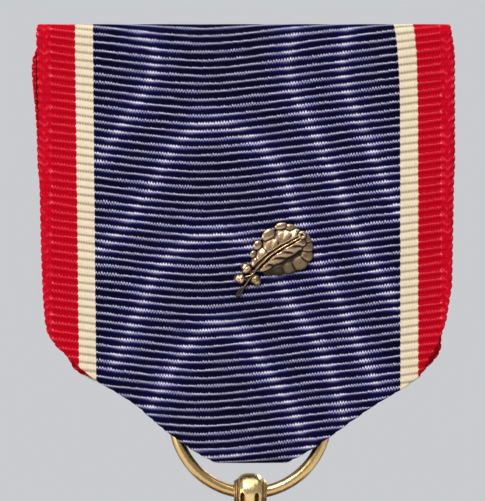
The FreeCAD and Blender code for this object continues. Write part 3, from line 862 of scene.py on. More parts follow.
def build_stitches():
    """Twisted thread stitches that close the strip's loop at the back."""
    low, high = mm_box("ribbon_stitches")
    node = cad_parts["ribbon_stitches"]
    ends = np.unique(np.round([v.co.x / MM for v in node.data.vertices], 2))
    centre = (low + high) / 2
    thick = (high[2] - low[2]) / 4
    twists = 2.5
    t = np.linspace(0, 1, 26)
    sag = 0.10 * (1 - (2 * t - 1) ** 6)
    shape = Shape()
    for left, right in ends.reshape(-1, 2):
        for strand in (0, math.pi):
            turn = 2 * math.pi * twists * t + strand
            y = centre[1] - 0.1 + sag + thick * 0.75 * np.cos(turn)
            z = centre[2] + thick * 0.75 * np.sin(turn)
            shape.tube(np.stack([left + (right - left) * t, y, z], 1), thick, sides=8)
    material, w = new_material("stitching_thread")
    fibre = w.noise(position_mm(w, (1.0, 3.0, 3.0)), 7.0, 3.0)
    tone = w.mix(fibre, (0.006, 0.005, 0.030), (0.05, 0.045, 0.14))
    finish_material(material, w, fibre, 0.01, {"Base Color": tone, "Roughness": 0.75, "Specular IOR Level": 0.2})
    return new_piece("seam_stitches", shape.points, shape.faces, material, "drape", "ribbon_stitches")


# ---------------------------------------------------------------- oak leaf

# lobes of the front leaf: place across and up, long and short radius, lean in degrees, height at the rim
FRONT_LOBES = (
    (1.42, 2.12, 0.78, 0.62, 40, 0.48), (0.62, 2.12, 0.80, 0.72, 60, 0.50),
    (-0.34, 1.48, 0.80, 0.72, 72, 0.48),
    (-1.10, 0.62, 0.70, 0.50, 66, 0.42), (2.02, 1.42, 0.70, 0.52, 6, 0.50),
    (1.20, 0.88, 0.92, 0.50, 24, 0.50),
    (0.26, 0.26, 0.96, 0.50, 24, 0.48), (-0.72, -0.40, 0.76, 0.38, 28, 0.42),
    (-1.70, 0.02, 0.36, 0.52, -18, 0.34),
)
# how softly the front lobes run together, how high the lobes stand, and how many pleats lie along the midrib
SOFT = 0.03
FRONT_DOME, BACK_DOME = 0.18, 0.16
PLEATS = 5.0
# lobes of the two leaves behind it
BACK_LOBES = (
    (0.46, 2.96, 0.56, 0.32, 12, 0.30), (1.25, 2.78, 0.50, 0.36, -20, 0.28),
    (-0.60, 2.24, 0.62, 0.46, 40, 0.32),
    (-1.50, 1.38, 0.44, 0.36, 50, 0.28), (-1.86, 0.62, 0.34, 0.30, 60, 0.22),
    (2.66, 1.22, 0.50, 0.55, 0, 0.26),
    (2.62, 0.50, 0.54, 0.56, -10, 0.24), (2.02, -0.12, 0.80, 0.62, 24, 0.22),
    (1.20, -0.50, 0.80, 0.56, 20, 0.18),
    (0.36, -0.72, 0.70, 0.48, 12, 0.14), (-0.50, -0.86, 0.56, 0.32, 10, 0.10),
    (2.50, 1.86, 0.50, 0.44, -30, 0.28),
)
# the thin sheet that joins the back lobes
LEAF_WEB = (0.55, 0.80, 2.45, 1.62, 36, 0.06)
MIDRIB = (
    (-1.66, -0.65), (-1.30, -0.27), (-0.89, 0.14), (-0.41, 0.56), (0.13, 0.92), (0.60, 1.22), (1.14, 1.51),
    (1.73, 1.84), (2.10, 2.05),
)
# the leaf's curled tip: its place and the radii of the curl and its eye
CURL = (2.21, 2.22)
CURL_RADIUS, EYE_RADIUS = 0.36, 0.13
# each acorn's place and the way it points
ACORNS = (((-2.49, -0.50), (-0.5, 0.85)), ((-3.03, -1.40), (-1.0, 0.1)), ((-1.60, -1.58), (0.5, -0.6)))
ACORN_RADIUS = 0.46
JUNCTION = (-1.90, -1.10)
STEM_END = (-3.08, -2.72)


def line_distance(x, z, line):
    """How far each place is from a line of short stretches, on which side it is and how far along."""
    best = np.full(x.shape, 1e9)
    side, along = np.zeros(x.shape), np.zeros(x.shape)
    for number, ((x0, z0), (x1, z1)) in enumerate(zip(line[:-1], line[1:])):
        dx, dz = x1 - x0, z1 - z0
        share = np.clip(((x - x0) * dx + (z - z0) * dz) / (dx * dx + dz * dz), 0, 1)
        gap = np.hypot(x - x0 - share * dx, z - z0 - share * dz)
        closer = gap < best
        best = np.where(closer, gap, best)
        side = np.where(closer, np.sign((z - z0) * dx - (x - x0) * dz), side)
        along = np.where(closer, (number + share) / (len(line) - 1), along)
    return best, side, along


def lobe_height(x, z, lobe, top):
    """A domed lobe, or -1 outside it."""
    cx, cz, long, short, lean, floor = lobe
    lean = math.radians(lean)
    a = ((x - cx) * math.cos(lean) + (z - cz) * math.sin(lean)) / long
    b = (-(x - cx) * math.sin(lean) + (z - cz) * math.cos(lean)) / short
    round_share = a * a + b * b
    return np.where(round_share < 1, floor + top * dome(round_share**1.2), -1.0)


def front_leaf(x, z):
    """The front leaf: lobes that run together and fall away from a raised midrib in pleats."""
    gap, side, along = line_distance(x, z, MIDRIB)
    piled = sum(np.exp(lobe_height(x, z, lobe, FRONT_DOME) / SOFT) for lobe in FRONT_LOBES)
    front = np.where(piled > 1, SOFT * np.log(piled), -1.0)
    blade = (gap < 0.42 * np.sin(math.pi * np.clip(along, 0.04, 0.97)) ** 0.4) & (along > 0)
    front = np.where(blade, np.maximum(front, 0.50), front)
    pleat = 0.5 - 0.5 * np.cos(2 * math.pi * (PLEATS * along - 1.3 * gap))
    pleat = np.where(side > 0, 0.015, 0.035) * pleat * smoothstep(gap / 0.4)
    front = np.where(front > 0, front - pleat, front)
    thick = 0.075 * (1.25 - 0.6 * along)
    rib = 0.13 * hump(gap / thick) - 0.16 * hump((gap - 2.1 * thick) / thick)
    roof = np.where(side > 0, 0.20, 0.28) * np.clip(gap, 0, 1.2)
    return np.where(front > 0, front - roof + rib * (along < 0.99), front)


def acorn_height(x, z, place, way):
    """An acorn: an egg-shaped nut in a wider, scaly cup."""
    (cx, cz), (dx, dz) = place, way
    size = math.hypot(dx, dz)
    a = ((x - cx) * dx + (z - cz) * dz) / size
    b = (-(x - cx) * dz + (z - cz) * dx) / size
    nut = np.clip(1 - (a / (ACORN_RADIUS * 1.02)) ** 2 - (b / (ACORN_RADIUS * 0.86)) ** 2, 0, 1)
    cup = np.clip(1 - ((a + 0.18) / (ACORN_RADIUS * 0.72)) ** 2 - (b / ACORN_RADIUS) ** 2, 0, 1)
    scales = 0.014 * np.sin(a * 22) * np.sin(b * 22)
    nut_height = np.where(nut > 0, 0.10 + 0.46 * np.sqrt(nut), -1.0)
    cup_height = np.where((cup > 0) & (a < -0.02), 0.13 + 0.49 * np.sqrt(cup) + scales, -1.0)
    return np.maximum(nut_height, cup_height)


def stalk_height(x, z, start, end, near, far, split=0.0):
    """A round stalk that widens from near to far, with its end split to the given depth."""
    b, _, a = line_distance(x, z, (start, end))
    width = near + (far - near) * smoothstep((a - 0.5) / 0.5)
    cleft = split * hump(b / 0.06) * smoothstep((a - 0.6) / 0.3)
    return np.where(b < width, 0.10 + 0.24 * dome((b / width) ** 2) - cleft, -1.0)


def evened(height, inside):
    """Each height as the mean of itself and its four neighbours, where they are part of the relief."""
    total, count = np.zeros_like(height), np.zeros_like(height)
    for way in ((0, 0), (0, 1), (1, 0), (0, -1), (-1, 0)):
        there = np.roll(inside, way, (0, 1))
        total += np.where(there, np.roll(height, way, (0, 1)), 0)
        count += there
    return np.where(inside, total / np.maximum(count, 1), height)


def build_leaf():
    """The oak leaf sprig: three lobed leaves, three acorns and a split stem, struck as one relief."""
    back = mm_box("oak_leaf")[1][1]
    centre = sum(mm_box("device_prongs")) / 2
    fine = 0.036
    x, z = np.meshgrid(np.arange(-3.75, 3.35, fine), np.arange(-3.15, 3.55, fine))
    height = lobe_height(x, z, LEAF_WEB, 0.10)
    for lobe in BACK_LOBES:
        height = np.maximum(height, lobe_height(x, z, lobe, BACK_DOME))
    front = front_leaf(x, z)
    height = np.where(front > 0, np.maximum(front, height), height)
    r = np.hypot(x - CURL[0], z - CURL[1])
    curl = 0.50 + 0.20 * dome((r / CURL_RADIUS) ** 2) - 0.22 * hump(r / EYE_RADIUS)
    height = np.where(r < CURL_RADIUS, np.maximum(height, curl), height)
    for place, way in ACORNS:
        height = np.maximum(height, acorn_height(x, z, place, way))
        height = np.maximum(height, stalk_height(x, z, JUNCTION, place, 0.09, 0.09))
    height = np.maximum(height, stalk_height(x, z, JUNCTION, STEM_END, 0.10, 0.25, split=0.13))
    height = np.maximum(height, stalk_height(x, z, JUNCTION, MIDRIB[0], 0.12, 0.12))
    inside = height > 0.02
    height = evened(height, inside)
    points = np.stack([centre[0] + x, back - height, centre[2] + z], -1).reshape(-1, 3)
    points, faces = without_spares(points, relief_faces(height, inside))
    points, faces = with_skirt(points, faces, back + 0.02)
    bronze = bpy.context.scene.medal_metal.bronze
    material = metal("struck_leaf_bronze", bronze, 0.24, grain=9.0, bump=0.006, struck=True)
    piece = new_piece("leaf_sprig", points, faces, material, "drape", "oak_leaf")

    def low_tarnish_and_shade(points):
        """The low parts have stayed more darkly tarnished, and the leaf's lower side is given painted shade."""
        x, z = points[:, 0] - centre[0], points[:, 2] - centre[2]
        low = np.clip(2.0 * (points[:, 1] - back + 0.47), 0, 0.45)
        # low darkens the low parts; the second term is painted shade on the leaf's lower side
        return low + 0.15 * smoothstep((0.72 * x + 0.50 - z) / 0.7)

    store_hollows_and_shade(piece, reach=4, gain=2.0, added=low_tarnish_and_shade)
    return piece


# ---------------------------------------------------------------- ring and lug


# brown of the gilt's hollows, which the ring's and the lug's painted side shade also use
GILT_PATINA_AND_SHADE = (0.16, 0.060, 0.014)
FLUTES = (-0.66, 0.55)


def build_ring():
    """The suspension ring: round wire bent to a circle, with its cut ends meeting at the top."""
    low, high = mm_box("suspension_ring")
    centre = (low + high) / 2
    wire = (high[1] - low[1]) / 2
    radius = (high[0] - low[0]) / 2 - wire
    steps, sides = 260, 28
    gap = 0.06 / radius
    turn = np.linspace(math.pi / 2 + gap, 2.5 * math.pi - gap, steps)
    wear = 1 + 0.012 * np.sin(5 * turn + 0.6) + 0.008 * np.sin(13 * turn)
    ends = np.ones(steps)
    ends[0] = ends[-1] = 0.82
    round_turn = np.linspace(0, 2 * math.pi, sides, endpoint=False)
    r = wire * (wear * ends)[:, None]
    out = radius + r * np.cos(round_turn)
    points = np.stack(
        [
            centre[0] + out * np.cos(turn)[:, None],
            centre[1] + r * np.sin(round_turn),
            centre[2] + out * np.sin(turn)[:, None],
        ],
        -1,
    ).reshape(-1, 3)
    faces = [f[::-1] for f in grid_faces(steps, sides, closed_columns=True)]
    faces.append(tuple(range(sides)))
    faces.append(tuple((steps - 1) * sides + i for i in range(sides))[::-1])
    gilt = bpy.context.scene.medal_metal.gilt
    material = metal("worn_gilt_wire", gilt, 0.24, grain=3.0, bump=0.012, patina_and_shade=GILT_PATINA_AND_SHADE, struck=True)
    piece = new_piece("ring_wire", points, faces, material, "ring", "suspension_ring")

    def side_shade(points):
        """Painted shade: the wire's inner and outer sides, its edges as seen from the front, are darker brown."""
        off = np.abs(np.hypot(points[:, 0] - centre[0], points[:, 2] - centre[2]) - radius) / wire
        # painted shade darkens the wire's edges as seen from the front
        return 0.28 * smoothstep((off - 0.5) / 0.45) - 0.06

    store_hollows_and_shade(piece, reach=1, gain=0.0, added=side_shade)
    return piece


def cut_flutes(piece, centre, hole):
    """Presses upright flutes into the lug's foot, two of them at the front."""
    points = np.array([v.co for v in piece.data.vertices]) / MM
    x, y = points[:, 0] - centre[0], points[:, 1] - centre[1]
    for place in FLUTES:
        off = (x - place) / 0.15
        below = smoothstep((hole + 0.05 - 0.14 * off**2 - points[:, 2]) / 0.20)
        deep = 0.46 * np.exp(-(off**2)) * below * (np.abs(y) > 0.4)
        points[:, 1] -= np.sign(y) * deep
    piece.data.vertices.foreach_set("co", (points * MM).ravel())
    piece.data.update()


def build_lug():
    """The lug that hangs on the ring: a domed loop with a fluted foot."""
    low, high = mm_box("suspension_knob")
    centre = (low + high) / 2
    hole = high[2] - (high[1] - low[1]) / 2
    reach = (high[1] - low[1]) / 2
    half = (high[0] - low[0]) / 2
    shape = Shape()
    # barrel round the ring, swept about the hole's axis
    profile = (
        (-0.95, 0.72), (-1.00, 0.78), (-1.04, 1.00), (-1.00, 1.18), (-0.86, 1.36), (-0.62, 1.50),
        (-0.32, 1.57),
        (0.0, 1.58), (0.32, 1.57), (0.62, 1.50), (0.86, 1.36), (1.00, 1.18), (1.04, 1.00), (1.00, 0.78),
        (0.95, 0.72),
        (0.55, 0.67), (0.0, 0.65), (-0.55, 0.67),
    )
    sides = 72
    turn = np.linspace(0, 2 * math.pi, sides, endpoint=False)
    rings = []
    for x, r in profile:
        r = r * reach / 1.58
        rings.append(np.stack([0 * turn + x, r * np.cos(turn), hole + r * np.sin(turn)], 1))
    points = np.array(rings)
    points[..., 0] += centre[0]
    points[..., 1] += centre[1]
    shape.add(points.reshape(-1, 3), grid_faces(len(profile), sides, closed_rows=True, closed_columns=True))
    # side collars, where the wire goes in
    for sign in (-1, 1):
        for r, x in ((0.95, 1.12), (0.85, 1.27)):
            t = np.linspace(0, 2 * math.pi, 49)
            line = np.stack([centre[0] + sign * x + 0 * t, centre[1] + r * np.cos(t), hole + r * np.sin(t)], 1)
            side = Shape()
            tube_turn = np.linspace(0, 2 * math.pi, 12, endpoint=False)
            ring = np.stack(
                [
                    line[:-1, None, 0] + 0.11 * np.cos(tube_turn),
                    centre[1] + (r + 0.13 * np.sin(tube_turn)) * np.cos(t[:-1, None]),
                    hole + (r + 0.13 * np.sin(tube_turn)) * np.sin(t[:-1, None]),
                ],
                -1,
            )
            side.add(ring.reshape(-1, 3), grid_faces(48, 12, closed_rows=True, closed_columns=True))
            shape.add(side.points, side.faces)
    # fluted foot: lobes round an upright column, the middle one widest
    foot_top, foot_low = -37.05 - hole + hole, low[2]
    for number, angle in enumerate(np.linspace(0, 2 * math.pi, 6, endpoint=False)):
        out = 0.62
        lobe = 0.46 if number % 3 == 0 else 0.42
        line = []
        for z in np.linspace(foot_top, foot_low + 0.1, 9):
            swell = 1.0 + 0.10 * math.sin((z - foot_top) * 2.2)
            x, y = centre[0] + out * swell * math.sin(angle), centre[1] - out * 1.15 * swell * math.cos(angle)
            line.append((x, y, z))
        shape.tube(line, [lobe * 0.55] + [lobe] * 7 + [lobe * 0.8], sides=16)
    shape.tube([(centre[0], centre[1], z) for z in np.linspace(foot_top - 0.35, foot_low, 6)], 0.85, sides=24)
    gilt = bpy.context.scene.medal_metal.gilt
    material = metal("worn_gilt_lug", gilt, 0.26, grain=7.0, bump=0.01, patina_and_shade=GILT_PATINA_AND_SHADE, struck=True)
    piece = new_piece("lug_loop", shape.points, shape.faces, material, "pendant", "suspension_knob")
    melt(piece, 0.045, rounds=2)
    cut_flutes(piece, centre, hole)

    def side_shade(points):
        """Darker brown in the flutes, and painted shade on the flanks."""
        x = points[:, 0] - centre[0]
        flutes = sum(np.exp(-(((x - place) / 0.13) ** 2)) for place in FLUTES) * (points[:, 2] < hole)
        # the first term is painted shade on the flanks; the second darkens the flutes
        return 0.42 * smoothstep((np.abs(x) - 0.90) / 0.25) + 0.5 * flutes - 0.04

    store_hollows_and_shade(piece, reach=6, gain=1.1, added=side_shade)
    return piece


# ---------------------------------------------------------------- pendant

FIELD_DROP = 0.35
ARM_TIP, ARM_ROOT, INNER = 7.6, 3.9, 5.25


def cross_outline(turn, reach_x, reach_z, disc):
    """Distance from the middle to the cross's edge in each direction."""
    fold = np.abs((turn + math.pi / 4) % (math.pi / 2) - math.pi / 4)
    reach = np.where(np.abs(np.sin(turn)) > np.abs(np.cos(turn)), reach_z, reach_x)
    flat = reach / np.cos(fold)
    corner = np.arctan2(ARM_TIP, reach)
    # straight side from the arm's corner to the inner corner
    x1, y1, x2, y2 = reach, ARM_TIP, INNER, INNER
    dx, dy = x2 - x1, y2 - y1
    side = (x1 * dy - y1 * dx) / (np.cos(fold) * dy - np.sin(fold) * dx)
    edge = np.where(fold < corner, flat, side)
    return np.maximum(edge, disc)


def build_cross():
    """The pendant: a cross with flared arms, a raised rim and a pebbled field, plain at the back."""
    low, high = mm_box("pendant_cross")
    wreath = mm_box("pendant_wreath")
    centre = (low + high) / 2
    centre[2] = (wreath[0][2] + wreath[1][2]) / 2
    half_thick = (high[1] - low[1]) / 2
    reach_x, reach_z = (high[0] - low[0]) / 2, high[2] - centre[2]
    disc = 9.4
    count = 640
    corner_turns = np.linspace(0, 2 * math.pi, count, endpoint=False)
    edge = cross_outline(corner_turns, reach_x, reach_z, disc)
    outline = np.stack([edge * np.cos(corner_turns), edge * np.sin(corner_turns)], 1)

    def inset(points):
        """Shortest way from each point to the outline."""
        a, b = outline, np.roll(outline, -1, 0)
        best = np.full(len(points), 1e9)
        for start in range(0, count, 32):
            p, q = a[start : start + 32], b[start : start + 32]
            d = q - p
            t = ((points[:, None] - p) * d).sum(-1) / (d * d).sum(-1)
            gap = points[:, None] - (p + np.clip(t, 0, 1)[..., None] * d)
            best = np.minimum(best, np.sqrt((gap**2).sum(-1)).min(1))
        return best

    wanted = (0.0, 0.10, 0.25, 0.62, 0.78, 0.88, 1.0)
    direction = np.stack([np.cos(corner_turns), np.sin(corner_turns)], 1)
    radii = []
    for depth in wanted:
        near, far = np.zeros(count), edge.copy()
        if depth > 0:
            for _ in range(18):
                mid = (near + far) / 2
                deep = inset(direction * mid[:, None]) > depth
                near, far = np.where(deep, mid, near), np.where(deep, far, mid)
            radii.append((near + far) / 2)
        else:
            radii.append(edge)
    inner = radii[-1]
    for share in np.linspace(0, 1, 34)[1:]:
        radii.append(inner + (6.0 - inner) * share)
    radii = np.array(radii)
    x, z = radii * np.cos(corner_turns), radii * np.sin(corner_turns)
    flat = np.stack([x.ravel(), z.ravel()], 1)
    deep = inset(flat).reshape(x.shape)
    r = np.hypot(x, z)
    on_disc = smoothstep((disc + 0.35 - r) / 0.5)
    rim = np.interp(deep, (0.0, 0.10, 0.25, 0.62, 0.78, 0.88, 1.0), (0.82, 0.95, 1.0, 1.0, 0.95, 0.4, 0.0))
    front = half_thick - FIELD_DROP * (1 - rim) * (1 - on_disc)
    field = smoothstep((deep - 0.95) / 0.2) * (1 - on_disc)
    ridge = 0.10 * np.exp(-(((r - disc + 0.25) / 0.18) ** 2))
    front = front + ridge * smoothstep((deep - 0.5) / 0.5)
    back = half_thick - FIELD_DROP * 0.6 * (1 - np.maximum(rim, 0.0)) * (1 - on_disc)
    rows, columns = x.shape
    front_points = np.stack([centre[0] + x, centre[1] - front, centre[2] + z], -1).reshape(-1, 3)
    back_points = np.stack([centre[0] + x, centre[1] + back, centre[2] + z], -1).reshape(-1, 3)
    shape = Shape()
    faces = [f[::-1] for f in grid_faces(rows, columns, closed_columns=True)]
    shape.add(front_points, faces)
    start = len(shape.points)
    shape.add(back_points, grid_faces(rows, columns, closed_columns=True))
    for j in range(columns):
        k = (j + 1) % columns
        shape.faces.append((j, k, start + k, start + j))
    for first, sign in ((0, -1), (start, 1)):
        middle = len(shape.points)
        depth = front[-1].mean() if sign < 0 else back[-1].mean()
        shape.points.append((centre[0], centre[1] + sign * depth, centre[2]))
        base = first + (rows - 1) * columns
        for j in range(columns):
            k = (j + 1) % columns
            shape.faces.append((base + k, base + j, middle) if sign < 0 else (base + j, base + k, middle))
    bronze = bpy.context.scene.medal_metal.bronze
    material = metal("struck_cross_bronze", bronze, 0.33, 0.85, grain=3.4, bump=0.03, struck="pebbled")
    piece = new_piece("cross_plaque", shape.points, shape.faces, material, "pendant", "pendant_cross")
    store_hollows_and_shade(piece, reach=4, gain=0.5)
    pebbled = np.zeros(len(shape.points), np.float32)
    pebbled[: field.size] = field.ravel()
    pebbled[start : start + field.size] = 0.25 * field.ravel()
    store(piece, "field", pebbled)
    return piece


# length of a laurel leaf
LAUREL_LEAF = 1.75


def laurel_leaf(shape, centre, turn, radius, lift, size, lean, base_y):
    """One pointed leaf that follows the wreath's circle."""
    rows, columns = 9, 7
    a = np.linspace(0, 1, rows)
    b = np.linspace(-1, 1, columns)
    width = 0.30 * size * np.sin(math.pi * a**0.8) ** 0.8
    points = []
    for side in (1, -1):
        for i, t in enumerate(a):
            for s in b:
                along = (t - 0.4) * size
                across = s * width[i]
                crease = 0.06 * abs(s) ** 0.5 - 0.10 * (abs(s) ** 2) + 0.10 * math.sin(math.pi * t)
                height = (crease + 0.18 if side > 0 else 0.0) * (1 if 0 < i < rows - 1 else 0.4)
                direction = lean
                u = along * math.cos(direction) - across * math.sin(direction)
                v = along * math.sin(direction) + across * math.cos(direction)
                angle = turn + u / radius
                r = radius + v
                x, z = centre[0] + r * math.sin(angle), centre[2] - r * math.cos(angle)
                points.append((x, base_y - lift - height, z))
    faces = grid_faces(rows, columns)
    faces += [f[::-1] for f in grid_faces(rows, columns, start=rows * columns)]
    n = rows * columns
    rim = (
        list(range(columns))
        + [i * columns + columns - 1 for i in range(1, rows)]
        + [(rows - 1) * columns + c for c in range(columns - 2, -1, -1)]
        + [i * columns for i in range(rows - 2, 0, -1)]
    )
    for i, j in zip(rim, rim[1:] + rim[:1]):
        faces.append((j, i, n + i, n + j))
    shape.add(points, faces)


def build_wreath():
    """A laurel wreath of overlapping leaves and berries, tied at the bottom."""
    low, high = mm_box("pendant_wreath")
    centre = (low + high) / 2
    base_y = high[1] + 0.03
    radius = (high[0] - low[0]) / 2 - 1.35
    shape = Shape()
    t = np.linspace(0, 2 * math.pi, 97)[:-1]
    ring_turn = np.linspace(0, 2 * math.pi, 10, endpoint=False)
    ring = np.stack(
        [
            centre[0] + (radius + 0.7 * np.cos(ring_turn)) * np.sin(t[:, None]),
            base_y - 0.18 - 0.18 * np.sin(ring_turn) + 0 * t[:, None],
            centre[2] - (radius + 0.7 * np.cos(ring_turn)) * np.cos(t[:, None]),
        ],
        -1,
    )
    shape.add(ring.reshape(-1, 3), grid_faces(96, 10, closed_rows=True, closed_columns=True))
    count = 17
    for way in (1, -1):
        for i in range(count):
            share = (i + 0.7) / count
            turn = way * share * (math.pi - 0.10)
            for row, (offset, lean) in enumerate(((0.0, 0.0), (0.55, 0.42), (-0.55, -0.42))):
                shift = way * (0.10 if row else 0.0)
                lean_now = lean if way > 0 else math.pi - lean
                lift = 0.30 if row == 0 else 0.18
                laurel_leaf(shape, centre, turn + shift, radius + offset, lift, LAUREL_LEAF, lean_now, base_y)
            if i % 2:
                for offset in (0.95, -0.95):
                    angle = turn + way * 0.12
                    r = radius + offset
                    place = (centre[0] + r * math.sin(angle), base_y - 0.38, centre[2] - r * math.cos(angle))
                    shape.ball(place, (0.17, 0.17, 0.17), rows=6, sides=10)
    # crossed tie
    for lean in (-0.5, 0.0, 0.5):
        line = []
        for s in np.linspace(-1, 1, 9):
            y = base_y - 0.45 - 0.25 * (1 - s * s)
            line.append((centre[0] + lean * s * 0.9, y, centre[2] - radius + 1.25 * s))
        shape.tube(line, 0.2, sides=10)
    bronze = bpy.context.scene.medal_metal.bronze
    material = metal("struck_wreath_bronze", bronze, 0.28, 0.95, bump=0.01, struck=True)
    piece = new_piece("laurel_wreath", shape.points, shape.faces, material, "pendant", "pendant_wreath")
    melt(piece, 0.075, rounds=1)
    store_hollows_and_shade(piece, reach=3, gain=0.6)
    return piece


def build_boss():
    """The centre boss: a plain low dome inside a ring of beads."""
    low, high = mm_box("pendant_boss")
    centre = (low + high) / 2
    base_y = high[1] + 0.03
    radius = (high[0] - low[0]) / 2
    tall = high[1] - low[1]
    shape = Shape()
    profile = (
        (radius, 0.0), (radius, 0.30), (radius - 0.05, 0.36), (radius - 0.22, 0.38), (radius - 0.30, 0.34),
        (radius - 0.36, 0.22), (radius - 0.98, 0.22), (radius - 1.04, 0.34), (radius - 1.14, 0.42),
        (radius - 1.30, 0.43), (radius - 1.40, 0.36), (radius - 1.48, 0.30),
    )
    profile = list(profile) + [
        ((radius - 1.48) * math.cos(t), 0.30 + (tall - 0.30) * math.sin(t)) for t in np.linspace(0.08, 1.5, 14)
    ]
    sides = 160
    turn = np.linspace(0, 2 * math.pi, sides, endpoint=False)
    rings = [
        np.stack([centre[0] + r * np.cos(turn), 0 * turn + base_y - h, centre[2] + r * np.sin(turn)], 1)
        for r, h in profile
    ]
    faces = [f[::-1] for f in grid_faces(len(profile), sides, closed_columns=True)]
    shape.add(np.vstack(rings), faces)
    shape.faces.append(tuple(range(sides))[::-1])
    shape.points.append((centre[0], base_y - tall, centre[2]))
    tip, base = len(shape.points) - 1, (len(profile) - 1) * sides
    shape.faces += [(base + (i + 1) % sides, base + i, tip) for i in range(sides)]
    beads = 52
    for i in range(beads):
        angle = 2 * math.pi * i / beads
        r = radius - 0.67
        shape.ball(
            (centre[0] + r * math.cos(angle), base_y - 0.26, centre[2] + r * math.sin(angle)), (0.25, 0.2, 0.25), 6, 10
        )
    bronze = bpy.context.scene.medal_metal.bronze
    material = metal("struck_boss_bronze", bronze, 0.25, 0.9, grain=8.0, bump=0.012, struck=True)
    piece = new_piece("centre_boss", shape.points, shape.faces, material, "pendant", "pendant_boss")
    store_hollows_and_shade(piece, reach=3, gain=0.4)
    return piece


# ---------------------------------------------------------------- brooch fittings and stage


def finish_fittings(colours):
    """Gives the brooch's own pieces their metals."""
    brass = tuple(colours.brass)
    rows = {
        "brooch_bar": metal("bar_brass", brass, 0.38, grain=3.0, stretch=(0.2, 1, 1)),
        "brooch_plate": metal("plate_brass", brass, 0.34, grain=3.5, stretch=(0.15, 1, 1)),
        "plate_rivets": metal("rivet_brass", brass, 0.28, grain=6.0),
        "hinge_bracket": metal("bracket_brass", brass, 0.33, grain=5.0),
        "hinge_rivet": metal("axle_steel", tuple(colours.steel), 0.30, grain=8.0),
        "pin_stem": metal("pin_wire_steel", tuple(colours.steel), 0.22, 0.4, 4.0, 0.006, (0.12, 1, 1)),
        "catch_base": metal("catch_brass", brass, 0.33, grain=5.0),
        "catch_rotor": metal("rotor_brass", brass, 0.27, grain=7.0),
        "device_prongs": metal("prong_bronze", tuple(colours.bronze), 0.36, grain=6.0),
    }
    for node, material in rows.items():
        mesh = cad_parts[node].data
        mesh.materials.clear()
        mesh.materials.append(material)


def build_stage(settings):
    """A plain pale floor, soft lights and the camera, level with the ribbon."""
    scene = bpy.context.scene
    low, high = mm_box("ribbon")
    floor_z = CAD_BOUNDS[0].z - 0.006
    steps, rings = 96, (0.0, 0.05, 0.15, 0.3, 0.55, 0.9)
    shape = Shape()
    shape.points.append((0.0, 0.0, floor_z / MM))
    for r in rings[1:]:
        for i in range(steps):
            a = 2 * math.pi * i / steps
            shape.points.append((r / MM * math.cos(a), r / MM * math.sin(a), floor_z / MM))
    shape.faces += [(0, 1 + i, 1 + (i + 1) % steps) for i in range(steps)]
    shape.faces += [f[::-1] for f in grid_faces(len(rings) - 1, steps, start=1, closed_columns=True)]
    material, w = new_material("floor_paper")
    place = w.add("ShaderNodeTexCoord", out=3)
    speck = w.noise(place, 900.0, 3.0)
    away = w.add("ShaderNodeVectorMath", {"Vector": place}, out=1, operation="LENGTH")
    fade = w.spread(away, 0.16, 0.60, 1.0, 0.0, soft=True)
    pale = tuple(settings.floor)
    tone = w.mix(speck, pale, tuple(c * 0.96 for c in pale))
    looks = {"Base Color": tone, "Roughness": 0.85, "Specular IOR Level": 0.2, "Alpha": fade}
    finish_material(material, w, speck, 0.02, looks)
    mesh = bpy.data.meshes.new("floor")
    mesh.from_pydata((np.array(shape.points) * MM).tolist(), [], shape.faces)
    mesh.materials.append(material)
    floor = bpy.data.objects.new("floor", mesh)
    scene.collection.objects.link(floor)

    world = bpy.data.worlds.new("studio")
    scene.world = world
    world.use_nodes = True
    w = Wires(world.node_tree)
    background = world.node_tree.nodes["Background"]
    background.inputs["Color"].default_value = (0.95, 0.97, 1.0, 1.0)
    seen = w.add("ShaderNodeLightPath", out=0)
    strength = w.spread(seen, 0.0, 1.0, settings.daylight, settings.backdrop)
    w.tree.links.new(strength, background.inputs["Strength"])

    target = Vector((0.0, low[1] * MM, (low[2] + high[2]) / 2 * MM))
    lights = (
        ("key", (-0.16, -0.42, 0.34), 0.16, settings.key, (1.0, 0.98, 0.95)),
        ("fill", (-0.36, -0.30, -0.02), 0.20, settings.key * 0.25, (0.95, 0.97, 1.0)),
        ("back", (0.22, 0.40, 0.26), 0.20, settings.key * 0.7, (1.0, 1.0, 1.0)),
        ("ceiling", (0.0, 0.0, 0.9), 1.6, settings.ceiling, (1.0, 1.0, 1.0)),
    )
    for name, place, size, power, tint in lights:
        data = bpy.data.lights.new(name, "AREA")
        data.shape = "DISK"
        data.size = size
        data.energy = power
        data.color = tint
        light = bpy.data.objects.new(name, data)
        light.location = place
        light.rotation_euler = (target - Vector(place)).to_track_quat("-Z", "Y").to_euler()
        scene.collection.objects.link(light)

    view_high = 41.75 * MM
    data = bpy.data.cameras.new("camera")
    data.sensor_width = 36.0
    data.lens = data.sensor_width * settings.distance / view_high
    data.clip_start, data.clip_end = 0.01, 20.0
    camera = bpy.data.objects.new("camera", data)
    middle_x = (low[0] + high[0]) / 2 - 0.25
    camera.location = (middle_x * MM, low[1] * MM - settings.distance, (high[2] - 18.875) * MM)
    camera.rotation_euler = (math.pi / 2, 0.0, 0.0)
    scene.collection.objects.link(camera)
    scene.camera = camera
    scene.view_settings.view_transform = "Standard"


# ---------------------------------------------------------------- add-on


class MEDAL_OT_stage(bpy.types.Operator):
    """Make the plain studio: floor, soft lights and camera"""

    bl_idname = "medal.stage"
    bl_label = "Stage"

    def execute(self, context):
        build_stage(context.scene.medal_stage)
        return {"FINISHED"}


class MEDAL_OT_ribbon(bpy.types.Operator):
    """Make the corded silk ribbon and its seam stitches"""

    bl_idname = "medal.ribbon"
    bl_label = "Ribbon"

    def execute(self, context):
        build_ribbon(context.scene.medal_ribbon)
        build_stitches()
        return {"FINISHED"}


